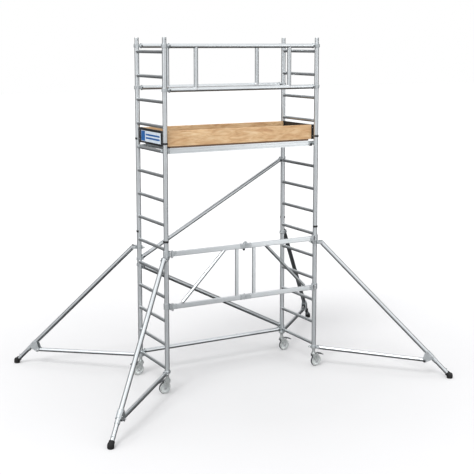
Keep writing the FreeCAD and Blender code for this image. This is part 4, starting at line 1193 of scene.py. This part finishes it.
def fold_frames():
    post_section = [rounded_box(0.035, 0.020, 0.004, 5), rounded_box(0.031, 0.016, 0.0022, 5)]
    top, bottom = FOLD_HEIGHTS
    post = flat_part(post_section, bottom + FOLD_HEIGHT / 2, top - FOLD_HEIGHT / 2, 0.0003)
    pattern(post)
    stay_tube = tube_pattern(FOLD_STAY_R)
    for side, name in ((-1, "left"), (1, "right")):
        parts = []
        for z in FOLD_HEIGHTS:
            parts += [fold_rail(side, z), fold_end(side, z), fold_centre(side, z)]
        parts.append(paint(duplicate(post, moved(side * FOLD_POST_X, FOLD_Y, 0)), "aluminium_upright"))
        for z in (bottom + FOLD_HEIGHT / 2, top - FOLD_HEIGHT / 2):
            for y_side in (-1, 1):
                y = FOLD_Y + y_side * 0.010
                weld = block(side * FOLD_POST_X - 0.0165, side * FOLD_POST_X + 0.0165, y - 0.0016, y + 0.0016,
                             z - 0.0016, z + 0.0016, 0.0012)
                parts.append(paint(weld, "weld_metal"))
        (x0, z0), (x1, z1) = FOLD_STAY
        parts.append(paint(tube(stay_tube, (side * x0, FOLD_Y, z0), (side * x1, FOLD_Y, z1)),
                           "aluminium_slant"))
        slope = (z1 - z0) / (x1 - x0)
        for z in (top - FOLD_HEIGHT / 2, bottom + FOLD_HEIGHT / 2):
            x = side * (x0 + (z - z0) / slope)
            clear_selection()
            bpy.ops.mesh.primitive_torus_add(major_radius=FOLD_STAY_R + 0.0006, minor_radius=0.002,
                                             major_segments=32, minor_segments=8)
            weld = put(bpy.context.object, moved(x, FOLD_Y, z) @ Matrix.Diagonal((1.414, 1, 1, 1)))
            parts.append(paint(weld, "weld_metal"))
        if side < 0:
            for z in FOLD_HEIGHTS:
                low = z - FOLD_HEIGHT / 2
                high = z + FOLD_HEIGHT / 2
                foot = turned([(0.006, low - 0.012), (0.0075, low - 0.0105), (0.0075, low - 0.002),
                               (0.0065, low - 0.0005)],
                              sides=28)
                cap = turned([(0.0075, high + 0.0005), (0.0075, high + 0.003), (0.006, high + 0.0045),
                              (0.003, high + 0.005)], sides=28)
                for part in (foot, cap):
                    parts.append(paint(put(part, moved(0, CENTRE_PIN_Y, 0)), "bright_steel"))
        piece(parts, f"fold_frame_{name}_half", f"fold_{name}", [f"fold_frame_{name}"])

    low = FOLD_HEIGHTS[0] - FOLD_HEIGHT / 2
    knob = turned([(0.006, low - 0.0225), (0.0105, low - 0.022), (0.012, low - 0.019), (0.012, low - 0.009),
                   (0.0105, low - 0.005), (0.0075, low - 0.003), (0.005, low - 0.002), (0.005, low)],
                   sides=32)
    grips = []
    for step in range(12):
        angle = math.tau * step / 12
        rib = turned([(0.0012, low - 0.0185), (0.0012, low - 0.0095)], sides=8)
        grips.append(put(rib, moved(0.0119 * math.cos(angle), 0.0119 * math.sin(angle), 0)))
    lock = [paint(put(part, moved(LOCK_X, FOLD_Y, 0)), "moulded_black") for part in [knob] + grips]
    stem = turned([(0.005, low - 0.003), (0.005, low + 0.047), (0.004, low + 0.049)], sides=24)
    lock.append(paint(put(stem, moved(LOCK_X, FOLD_Y, 0)), "bright_steel"))
    piece(lock, "fold_lock_knob", "fold_lock", ["fold_lock"])


def fold_brackets():
    """Clamp brackets on the front uprights, with the forked seats of the folding frame."""
    half = FOLD_HEIGHT / 2 + 0.0056
    inner = UPRIGHT_R + 0.0001
    ring = flat_part([c_outline(inner, 0.032, 90, 100, 0.0006)], -half, half, 0.0015, 2)
    front = FOLD_Y - FOLD_DEPTH / 2 + HALF_Y
    web_x = HALF_X - 0.873
    web = block(-web_x, -web_x + 0.014, front, -0.010, -half, half, 0.0022, 3)
    plates = []
    for z0 in (-half, half - 0.005):
        outline = [(-web_x + 0.014, front + 0.003), (-web_x + 0.014, front + 0.024)]
        outline += [(-0.048 - 0.004, front + 0.026)] + arc(-0.048, front + 0.013, 0.0128, 110, 250, 12)
        plates.append(flat_part([outline], z0, z0 + 0.005, 0.0008))
    band = block(-0.0335, -0.0255, -0.012, 0.012, -half + 0.006, half - 0.006, 0.002, 3)
    bolt = [put(hex_head(0.0065, 0.0045), toward((0.0005 - web_x + 0.007, front - 0.0002, dz), -Y_AXIS))
            for dz in (-0.016, 0.016)]
    shape = joined([paint(part, "cast_alloy") for part in [ring, web, band] + plates] +
                   [paint(part, "bright_steel") for part in bolt])
    copies = []
    for side in (-1, 1):
        for z in FOLD_HEIGHTS:
            place = moved(side * HALF_X, -HALF_Y, z) @ Matrix.Diagonal((side, 1, 1, 1))
            copies.append(duplicate(shape, place))
    piece(copies, "fold_bracket_castings", "tower", ["fold_end_brackets"])
    pattern(shape)
    paint(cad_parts["fold_end_pins"], "bright_steel")


# --- casters --------------------------------------------------------------------------
WHEEL_R = 0.0625
TRAIL = 0.031
FORK_INNER = 0.0195
FORK_OUTER = 0.024
FORK_TOP_Z = 0.146
PEDAL_PIVOT = (0.036, 0.138)


def upright_part(outlines, y0, y1, edge=0.0006, resolution=1):
    """A flat part whose outline is given as (x, z), standing between y0 and y1."""
    part = flat_part(outlines, y0, y1, edge, resolution)
    return put(part, Matrix(((1, 0, 0, 0), (0, 0, 1, 0), (0, 1, 0, 0), (0, 0, 0, 1))))


def caster_stem():
    profile = [(0.0217, 0.287), (0.0217, 0.207), (0.0236, 0.207), (0.024, 0.2065), (0.024, 0.2035),
               (0.0236, 0.203),
               (0.017, 0.203), (0.016, 0.2015), (0.016, 0.166), (0.017, 0.1635), (0.0225, 0.162),
               (0.024, 0.161),
               (0.024, 0.157), (0.0232, 0.156), (0.006, 0.156), (0.006, 0.134), (0.005, 0.133)]
    stem = paint(turned(profile[::-1], sides=40), "zinc_plate")
    nut = put(hex_head(0.0105, 0.007), toward((0, 0, 0.1395), -Z_AXIS))
    return [stem, paint(nut, "bright_steel")]


def caster_fork():
    """The pressed fork: two cheeks with eased corners, a domed bearing head and the axle bolt."""
    cheek = [(-0.022, FORK_TOP_Z), (0.040, FORK_TOP_Z)]
    cheek += arc(0.0435, 0.1375, 0.0065, 90, 0, 4)
    cheek += [(0.0475, 0.085), (0.0465, 0.063)]
    cheek += arc(TRAIL, WHEEL_R, 0.0148, 5, -170, 12)
    cheek += [(0.004, 0.082), (-0.0195, 0.118)] + arc(-0.0205, 0.134, 0.006, 200, 110, 4)
    window = [(0.018, 0.124), (0.031, 0.124), (0.0325, 0.118), (0.0325, 0.098), (0.0285, 0.092),
              (0.020, 0.096),
              (0.0125, 0.112)]
    parts = []
    for y0, y1 in ((-FORK_OUTER, -FORK_INNER), (FORK_INNER, FORK_OUTER)):
        parts.append(upright_part([cheek, window], y0, y1, 0.0011, 2))
    parts.append(block(-0.0262, 0.0262, -FORK_OUTER, FORK_OUTER, FORK_TOP_Z - 0.006, FORK_TOP_Z, 0.0025, 3))
    head = turned([(0.0062, 0.1405), (0.0285, 0.1405), (0.0288, 0.143), (0.0285, 0.1475), (0.0268, 0.1515),
                   (0.0232, 0.1545),
                   (0.0175, 0.1554), (0.0062, 0.1554)], sides=48, closed=True)
    race = turned([(0.0255, 0.1475), (0.0293, 0.1475), (0.0298, 0.1483), (0.0298, 0.1503), (0.0293, 0.151),
                   (0.0255, 0.151)], sides=48, closed=True)
    parts += [head, race]
    parts = [paint(part, "zinc_plate") for part in parts]
    bolt = cross_bolt((TRAIL, 0, WHEEL_R), FORK_OUTER + 0.001, 0.006)
    shaft = turned([(0.0058, -FORK_OUTER), (0.0058, FORK_OUTER)], sides=24)
    bolt.append(put(shaft, toward((TRAIL, 0, WHEEL_R), Y_AXIS)))
    for side in (-1, 1):
        rivet = dome_head(0.0062, 0.003)
        bolt.append(put(rivet, toward((PEDAL_PIVOT[0], side * FORK_OUTER, PEDAL_PIVOT[1]), Y_AXIS * side)))
    return parts + [paint(part, "bright_steel") for part in bolt]


def caster_wheel():
    """A rubber tyre with a split tread on a ribbed moulded centre. Its tread and the grooves at its sides are
    dark grey as painted shade, an outline where the tyre's edge is shaded.
    """
    tyre = turned([(0.046, -0.0145), (0.0495, -0.0156), (0.0552, -0.0158), (0.0588, -0.0146),
                   (0.0588, 0.0146),
                   (0.0552, 0.0158), (0.0495, 0.0156), (0.046, 0.0145)], sides=72, closed=True)
    # the tread ring is dark grey as painted shade along the tyre's shaded edge
    tread = turned([(0.0586, -0.0146), (0.0592, -0.0144), (0.0614, -0.0112), (0.0624, -0.006),
                    (0.0625, -0.0018),
                    (0.0613, -0.0012), (0.0613, 0.0012), (0.0625, 0.0018), (0.0624, 0.006), (0.0614, 0.0112),
                    (0.0592, 0.0144), (0.0586, 0.0146)], sides=72, closed=True)
    rim = turned([(0.0062, -0.0178), (0.0125, -0.0178), (0.013, -0.0172), (0.0135, -0.0095),
                  (0.0155, -0.0065),
                  (0.0375, -0.0065), (0.0400, -0.0100), (0.0405, -0.0142), (0.0412, -0.015),
                  (0.0452, -0.015), (0.0463, -0.0142),
                  (0.0463, 0.0142), (0.0452, 0.015), (0.0412, 0.015), (0.0405, 0.0142), (0.0400, 0.0100),
                  (0.0375, 0.0065),
                  (0.0155, 0.0065), (0.0135, 0.0095), (0.013, 0.0172), (0.0125, 0.0178), (0.0062, 0.0178)],
                 sides=72, closed=True)
    spoke = block(0.0125, 0.041, -0.0016, 0.0016, -0.0118, 0.0118, 0.001)
    spokes = [duplicate(spoke, turned_by(45 * step)) for step in range(8)]
    bpy.data.objects.remove(spoke)
    seal = turned([(0.0062, -0.0184), (0.0098, -0.0184), (0.0102, -0.018), (0.0102, 0.018), (0.0098, 0.0184),
                   (0.0062, 0.0184)], sides=32, closed=True)
    parts = [paint(tyre, "tyre_grey"), paint(tread, "moulded_grey")]
    parts += [paint(part, "hub_grey") for part in [rim] + spokes]
    parts.append(paint(seal, "moulded_grey"))
    for side in (-1, 1):
        # dark grey rings at the tyre's sides: painted shade darkening the tyre's edge
        groove = turned([(0.0464, 0.0142), (0.0476, 0.0142), (0.0482, 0.0158), (0.0479, 0.0162),
                         (0.0470, 0.0162),
                         (0.0464, 0.0156)], sides=72, closed=True)
        parts.append(paint(put(groove, Matrix.Diagonal((1, 1, side, 1))), "moulded_grey"))
    place = moved(TRAIL, 0, WHEEL_R) @ turned_by(90, "X")
    return [put(part, place) for part in parts]


def brake_pedal():
    """A moulded pedal over the wheel, with a raised rim and grip bars."""
    arm = [(0.034, 0.1455), (0.050, 0.1485), (0.066, 0.1472), (0.066, 0.1365), (0.060, 0.1375),
           (0.052, 0.1345),
           (0.0385, 0.1308)]
    parts = [upright_part([arm], -0.017, 0.017, 0.0016, 2)]
    tread = [(0.064, 0.1473), (0.112, 0.1302)] + arc(0.1128, 0.1255, 0.0045, 75, -95, 6) + [(0.064, 0.1372)]
    parts.append(upright_part([tread], -0.026, 0.026, 0.002, 2))
    slope = math.degrees(math.atan2(0.0171, 0.048))
    for step in range(5):
        along = 0.009 + 0.0085 * step
        bar = block(-0.0014, 0.0014, -0.0205, 0.0205, -0.001, 0.0017, 0.0007)
        parts.append(put(bar, moved(0.064 + along, 0, 0.1473 - along * 0.356) @ turned_by(slope, "Y")))
    barrel = turned([(0.0041, -0.017), (0.0061, -0.017), (0.0064, -0.0166), (0.0064, 0.0166), (0.0061, 0.017),
                     (0.0041, 0.017)], sides=28, closed=True)
    parts.append(put(barrel, toward((PEDAL_PIVOT[0], 0, PEDAL_PIVOT[1]), Y_AXIS)))
    shoe = [(0.050, 0.142), (0.062, 0.142), (0.0612, 0.1262), (0.056, 0.1268), (0.052, 0.1285)]
    parts.append(upright_part([shoe], -0.012, 0.012, 0.0012, 2))
    return [paint(part, "moulded_grey") for part in parts]


def casters():
    stems = []
    shape = joined(caster_stem())
    for x, y, _ in CORNERS.values():
        stems.append(duplicate(shape, moved(x, y, 0)))
    piece(stems, "caster_stem_turnings", "tower", ["caster_stems"])
    pattern(shape)
    at_corners(caster_fork(), "fork", "caster_{}", "caster_fork_{}", heading)
    at_corners(caster_wheel(), "wheel", "wheel_{}", "caster_wheel_{}", heading)
    at_corners(brake_pedal(), "pedal", "brake_{}", "brake_pedal_{}", heading)


# --- stabilisers ----------------------------------------------------------------------
STAB_HEAD = Vector((0.072, 0, 1.421))
STAB_SLOPE = 0.9745
STAB_TUBE_R = 0.024
STAB_LEG_R = 0.021
STRUT_R = 0.021
STRUT_START = Vector((0.054, 0, 0.222))
STRUT_END = Vector((1.246, 0, 0.178))
TUBE_END_T = 1.776
LEG_START_T = 1.300
LEG_END_T = 1.960
FOOT_TOP_T = 1.925
JOINT_STRUT = Vector((1.230, 0, 0.1786))
JOINT_Y = STAB_TUBE_R + 0.0004
PLATE_THICK = 0.004
STAB_DIR = Vector((1, 0, -STAB_SLOPE)).normalized()
STAB_NORMAL = Vector((STAB_SLOPE, 0, 1)).normalized()


BOOT_TOP_T = FOOT_TOP_T + 0.030
LEG_RING_T = 1.9155     # stays clear of the tube when the leg is pushed in


def on_stab(t, off=0.0):
    return STAB_HEAD + STAB_DIR * t + STAB_NORMAL * off


def stabiliser_tubes():
    long_tube = tube(tube_pattern(STAB_TUBE_R), on_stab(-0.008), on_stab(TUBE_END_T))
    strut = tube(tube_pattern(STRUT_R), STRUT_START, STRUT_END)
    parts = [paint(long_tube, "aluminium_slant"), paint(strut, "aluminium_slant")]
    collar = turned([(STAB_LEG_R + 0.0003, 0.0), (STAB_TUBE_R + 0.0008, 0.0), (STAB_TUBE_R + 0.0018, 0.001),
                     (STAB_TUBE_R + 0.0018, 0.013), (STAB_TUBE_R - 0.0004, 0.0158),
                     (STAB_LEG_R + 0.0003, 0.016)],
                    sides=40, closed=True)
    parts.append(paint(put(collar, toward(on_stab(TUBE_END_T), STAB_DIR)), "cast_alloy"))
    skirt = turned([(STAB_TUBE_R + 0.0002, 0.0), (STAB_TUBE_R + 0.0015, 0.0005),
                    (STAB_TUBE_R + 0.0015, 0.0195),
                    (STAB_TUBE_R + 0.0002, 0.02)], sides=40, closed=True)
    parts.append(paint(put(skirt, toward(on_stab(TUBE_END_T - 0.02), STAB_DIR)), "cast_alloy"))

    outline = [on_stab(1.640, 0.016), on_stab(1.745, 0.016), on_stab(1.745, -0.012)]
    rim = [(p.x, p.z) for p in outline]
    rim += arc(1.2345, 0.1785, 0.0235, -35, -150, 8)
    rim += [(1.2128, 0.201), (on_stab(1.640, -0.014).x, on_stab(1.640, -0.014).z)]
    clamp = turned([(STAB_TUBE_R + 0.0002, 0.0), (JOINT_Y + 0.0032, 0.0), (JOINT_Y + 0.004, 0.0008),
                    (JOINT_Y + 0.004, 0.0842), (JOINT_Y + 0.0032, 0.085), (STAB_TUBE_R + 0.0002, 0.085)],
                   sides=40, closed=True)
    parts.append(paint(put(clamp, toward(on_stab(1.650), STAB_DIR)), "cast_alloy"))
    for y0, y1 in ((-JOINT_Y - PLATE_THICK, -JOINT_Y), (JOINT_Y, JOINT_Y + PLATE_THICK)):
        plate = upright_part([rim], y0, y1, 0.0008)
        parts.append(paint(plate, "cast_alloy"))
    bolts = cross_bolt(JOINT_STRUT, JOINT_Y + PLATE_THICK + 0.001, 0.0052)
    for t in (1.665, 1.715):
        bolts += cross_bolt(on_stab(t, 0.004), JOINT_Y + PLATE_THICK + 0.0005, 0.0032)
    parts += [paint(part, "bright_steel") for part in bolts]
    knob = turned([(0.0045, 0.0), (0.0045, 0.008), (0.0125, 0.010), (0.0138, 0.013), (0.0138, 0.022),
                   (0.012, 0.0255), (0.006, 0.027)], sides=24)
    parts.append(paint(put(knob, toward(JOINT_STRUT + Vector((0, -JOINT_Y - 0.008, 0)), -Y_AXIS)),
                       "moulded_black"))
    cap = turned([(STAB_TUBE_R - 0.0022, 0.012), (STAB_TUBE_R - 0.0022, 0.0), (STAB_TUBE_R + 0.0004, -0.0002),
                  (STAB_TUBE_R + 0.0004, -0.0035), (STAB_TUBE_R - 0.0016, -0.0055)], sides=40)
    parts.append(paint(put(cap, toward(on_stab(-0.0082), STAB_DIR)), "moulded_black"))
    for point, direction, radius in ((STRUT_START, STRUT_START - STRUT_END, STRUT_R),
                                     (STRUT_END, STRUT_END - STRUT_START, STRUT_R)):
        plug = turned([(radius - 0.0022, -0.012), (radius - 0.0022, 0.0), (radius + 0.0002, 0.0002),
                       (radius + 0.0002, 0.0028), (radius - 0.0016, 0.0042)], sides=36)
        parts.append(paint(put(plug, toward(point, direction)), "moulded_black"))
    return parts


def wing_screw(middle):
    """The jaw's wing screw, behind the upright, along -X at height middle."""
    screw = turned([(0.005, -0.014), (0.005, 0.0), (0.0095, 0.001), (0.0105, 0.004), (0.0095, 0.012),
                    (0.006, 0.0145),
                    (0.005, 0.0155), (0.005, 0.0235), (0.0042, 0.0245)], sides=24)
    put(screw, toward((-0.040, 0, middle), -X_AXIS))
    wings = []
    for side in (-1, 1):
        outline = [(side * 0.006, -0.0045), (side * 0.015, -0.0055)]
        tip = arc(side * 0.0185, -0.0005, 0.0062, -70 if side > 0 else 250, 110 if side > 0 else 70, 8)
        outline += tip + [(side * 0.006, 0.0045)]
        wing = flat_part([outline], -0.0038, 0.0038, 0.0015, 2)
        wings.append(put(wing, facing((-0.0475, 0, middle), Y_AXIS, Z_AXIS)))
    return [paint(part, "zinc_plate") for part in [screw] + wings]


def stabiliser_claw(z0, z1, plate_y, plate_end, bolt_at):
    """A swivelling clamp: a cast C with a jaw lug, two rounded cheeks and the bolt through the tube."""
    inner = UPRIGHT_R + 0.0003
    middle = (z0 + z1) / 2
    half = (z1 - z0) / 2
    outer_y = plate_y + PLATE_THICK
    ring = flat_part([c_outline(inner, inner + 0.0088, 90, 70, 0.0005)], z0, z1, 0.0022, 3)
    lug = block(-0.0395, -0.031, -0.0105, 0.0105, z0 + 0.002, z1 - 0.002, 0.003, 3)
    root = block(0.0315, 0.0425, -outer_y, outer_y, z0, z1, 0.0028, 3)
    parts = [ring, lug, root]
    cheek = [(0.0385, middle - half), (0.0385, middle + half)]
    round_r = half
    tip_x = plate_end - round_r
    cheek += arc(tip_x, middle, round_r, 90, -90, 12)
    for y0, y1 in ((-outer_y, -plate_y), (plate_y, outer_y)):
        parts.append(upright_part([cheek], y0, y1, 0.0012, 2))
    for side in (-1, 1):
        rib = block(0.040, 0.058, -0.0022, 0.0022, -0.0022, 0.0022, 0.0016, 3)
        parts.append(put(rib, moved(0, side * outer_y, middle)))
    parts = [paint(part, "cast_alloy") for part in parts]
    parts += [paint(part, "bright_steel") for part in cross_bolt(bolt_at, outer_y + 0.001, 0.0052)]
    return parts + wing_screw(middle)


def stabiliser_leg():
    """The sliding leg, with the ring and tab of its catch just above the boot."""
    leg = tube(tube_pattern(STAB_LEG_R), on_stab(LEG_START_T), on_stab(LEG_END_T))
    ring = turned([(STAB_LEG_R, 0.0), (STAB_LEG_R + 0.0022, 0.0005), (STAB_LEG_R + 0.0022, 0.0075),
                   (STAB_LEG_R, 0.008)],
                  sides=36, closed=True)
    put(ring, toward(on_stab(LEG_RING_T), STAB_DIR))
    tab = block(-0.004, 0.004, -0.003, 0.003, -0.003, 0.009, 0.0012)
    put(tab, facing(on_stab(LEG_RING_T + 0.004, STAB_LEG_R + 0.004), STAB_DIR, STAB_NORMAL))
    return [paint(leg, "aluminium_slant"), paint(ring, "cast_alloy"), paint(tab, "cast_alloy")]


def stabiliser_foot():
    """A short ribbed rubber boot with a rounded pad on the ground."""
    sleeve = turned([(0.0212, 0.0), (0.0272, 0.0), (0.0284, 0.0015), (0.0286, 0.007), (0.0272, 0.0085),
                     (0.0272, 0.0115),
                     (0.0286, 0.013), (0.029, 0.030), (0.024, 0.044), (0.016, 0.048)], sides=40)
    put(sleeve, toward(on_stab(BOOT_TOP_T), STAB_DIR))
    pad = turned([(0.0285, 0.0), (0.031, 0.002), (0.0322, 0.007), (0.0326, 0.013), (0.0318, 0.017),
                  (0.0326, 0.021),
                  (0.0328, 0.029), (0.0312, 0.040), (0.0272, 0.050), (0.0205, 0.057), (0.012, 0.0605)],
                  sides=40)
    put(pad, moved(1.503, 0, 0))
    return [paint(part, "foot_rubber") for part in (sleeve, pad)]


def stabilisers():
    at_corners(stabiliser_tubes(), "stabiliser_arm", "stabiliser_{}", "stabiliser_tube_{}",
               outward)
    upper = stabiliser_claw(1.402, 1.438, JOINT_Y, 0.092, on_stab(0.008))
    lower = stabiliser_claw(0.2085, 0.240, STRUT_R + 0.0004, 0.078, Vector((0.066, 0, 0.2215)))
    at_corners(upper + lower, "stabiliser_clamps", "stabiliser_{}", "stabiliser_claws_{}",
               outward)
    at_corners(stabiliser_leg(), "stabiliser_slide", "leg_{}", "stabiliser_leg_{}", outward)
    at_corners(stabiliser_foot(), "rubber_boot", "leg_{}", "stabiliser_foot_{}", outward)


# --- the whole object -----------------------------------------------------------------
ladder_frames()
spigots()
spigot_clips()
black_levers = braces_and_guards()
platform_frame()
platform_deck()
hatch()
black_levers += platform_hooks()
piece(black_levers, "latch_levers", "tower", ["claw_latches"])
toe_boards()
name_plate()
fold_frames()
fold_brackets()
casters()
stabilisers()

for shape in patterns:
    bpy.data.objects.remove(shape)


# --- studio ---------------------------------------------------------------------------
CAMERA_AZIMUTH = 29.19          # degrees to the left of straight ahead
CAMERA_ELEVATION = 7.75
CAMERA_DISTANCE = 10.887
CAMERA_TARGET = Vector((0.084, -0.047, 2.128))
CAMERA_LENS = 76.43
CAMERA_SHIFT_Y = -0.12
FLAGS = ((9, 0.06), (112, 0.18))    # heading in degrees from +X, and how much light is left there
FLAG_EDGE = 0.50                    # cosines of the angles at which a flag starts and is full
FLAG_CORE = 0.90
SKY_GREYS = ((0.0, 0.01), (0.25, 0.04), (0.36, 0.66), (0.52, 0.90), (0.62, 1.20), (1.0, 1.30))


def studio_floor():
    clear_selection()
    bpy.ops.mesh.primitive_plane_add(size=120.0, location=(0, 0, -0.0005))
    floor = paint(bpy.context.object, "studio_floor")
    floor.name = "studio_floor"
    floor.visible_diffuse = False
    floor.visible_glossy = False


def softbox(name, azimuth, elevation, distance, width, height, power):
    """A large soft light that looks at the middle of the tower."""
    data = bpy.data.lights.new(name, "AREA")
    data.shape = "RECTANGLE"
    data.size = width
    data.size_y = height
    data.energy = power
    light = bpy.data.objects.new(name, data)
    bpy.context.scene.collection.objects.link(light)
    turn = math.radians(azimuth)
    rise = math.radians(elevation)
    away = Vector((-math.sin(turn) * math.cos(rise), -math.cos(turn) * math.cos(rise), math.sin(rise)))
    light.matrix_world = toward(Vector((0, 0, 1.6)) + away * distance, away)


def sun(name, azimuth, elevation, width, strength):
    """A wide sun, which lights near and far floor alike; width is its size in the sky in degrees."""
    data = bpy.data.lights.new(name, "SUN")
    data.angle = math.radians(width)
    data.energy = strength
    light = bpy.data.objects.new(name, data)
    bpy.context.scene.collection.objects.link(light)
    turn = math.radians(azimuth)
    rise = math.radians(elevation)
    away = Vector((-math.sin(turn) * math.cos(rise), -math.cos(turn) * math.cos(rise), math.sin(rise)))
    light.matrix_world = toward(Vector((0, 0, 6)), away)


def dark_flag(tree, direction, colour, angle, shade):
    """Darkens the surroundings around one heading, like a black flag beside the set."""
    facing = tree.nodes.new("ShaderNodeVectorMath")
    facing.operation = "DOT_PRODUCT"
    turn = math.radians(angle)
    facing.inputs[1].default_value = (math.cos(turn), math.sin(turn), 0)
    tree.links.new(direction, facing.inputs[0])
    fade = tree.nodes.new("ShaderNodeMapRange")
    fade.interpolation_type = "SMOOTHSTEP"
    fade.inputs["From Min"].default_value = FLAG_EDGE
    fade.inputs["From Max"].default_value = FLAG_CORE
    fade.inputs["To Min"].default_value = 1.0
    fade.inputs["To Max"].default_value = shade
    tree.links.new(facing.outputs["Value"], fade.inputs["Value"])
    dim = tree.nodes.new("ShaderNodeVectorMath")
    dim.operation = "SCALE"
    tree.links.new(colour, dim.inputs["Vector"])
    tree.links.new(fade.outputs["Result"], dim.inputs["Scale"])
    return dim.outputs["Vector"]


def studio_light():
    sun("key_sun", 52, 48, 20, 1.6)
    softbox("left_strip", 78, 24, 9.0, 1.6, 7.0, 60)
    softbox("front_strip", -34, 4, 12.0, 1.6, 9.0, 95)
    world = bpy.data.worlds.new("studio")
    bpy.context.scene.world = world
    world.use_nodes = True
    nodes = world.node_tree.nodes
    links = world.node_tree.links
    background = nodes["Background"]
    place = nodes.new("ShaderNodeTexCoord")
    split = nodes.new("ShaderNodeSeparateXYZ")
    height = nodes.new("ShaderNodeMapRange")
    ramp = nodes.new("ShaderNodeValToRGB")
    seen = nodes.new("ShaderNodeLightPath")
    choose = nodes.new("ShaderNodeMix")
    choose.data_type = "RGBA"
    height.inputs["From Min"].default_value = -1.0
    elements = ramp.color_ramp.elements
    for position, _ in SKY_GREYS[1:-1]:
        elements.new(position)
    for element, (position, grey) in zip(elements, SKY_GREYS):
        element.position = position
        element.color = (grey, grey, grey * 1.02, 1)
    links.new(place.outputs["Generated"], split.inputs["Vector"])
    links.new(split.outputs["Z"], height.inputs["Value"])
    links.new(height.outputs["Result"], ramp.inputs["Fac"])
    links.new(seen.outputs["Is Camera Ray"], choose.inputs["Factor"])
    around = ramp.outputs["Color"]
    for angle, shade in FLAGS:
        around = dark_flag(world.node_tree, place.outputs["Generated"], around, angle, shade)
    links.new(around, next(i for i in choose.inputs if i.type == "RGBA"))
    white = [i for i in choose.inputs if i.type == "RGBA"][1]
    white.default_value = (1, 1, 1, 1)
    links.new(next(o for o in choose.outputs if o.type == "RGBA"), background.inputs["Color"])


def studio_camera():
    data = bpy.data.cameras.new("camera")
    data.lens = CAMERA_LENS
    data.sensor_width = 36.0
    data.shift_y = CAMERA_SHIFT_Y
    data.clip_end = 200.0
    camera = bpy.data.objects.new("camera", data)
    bpy.context.scene.collection.objects.link(camera)
    turn = math.radians(CAMERA_AZIMUTH)
    fall = math.radians(CAMERA_ELEVATION)
    look = Vector((math.sin(turn) * math.cos(fall), math.cos(turn) * math.cos(fall), -math.sin(fall)))
    camera.location = CAMERA_TARGET - look * CAMERA_DISTANCE
    camera.rotation_mode = "QUATERNION"
    camera.rotation_quaternion = look.to_track_quat("-Z", "Y")
    bpy.context.scene.camera = camera


studio_floor()
studio_light()
studio_camera()
bpy.context.scene.view_settings.view_transform = "Standard"
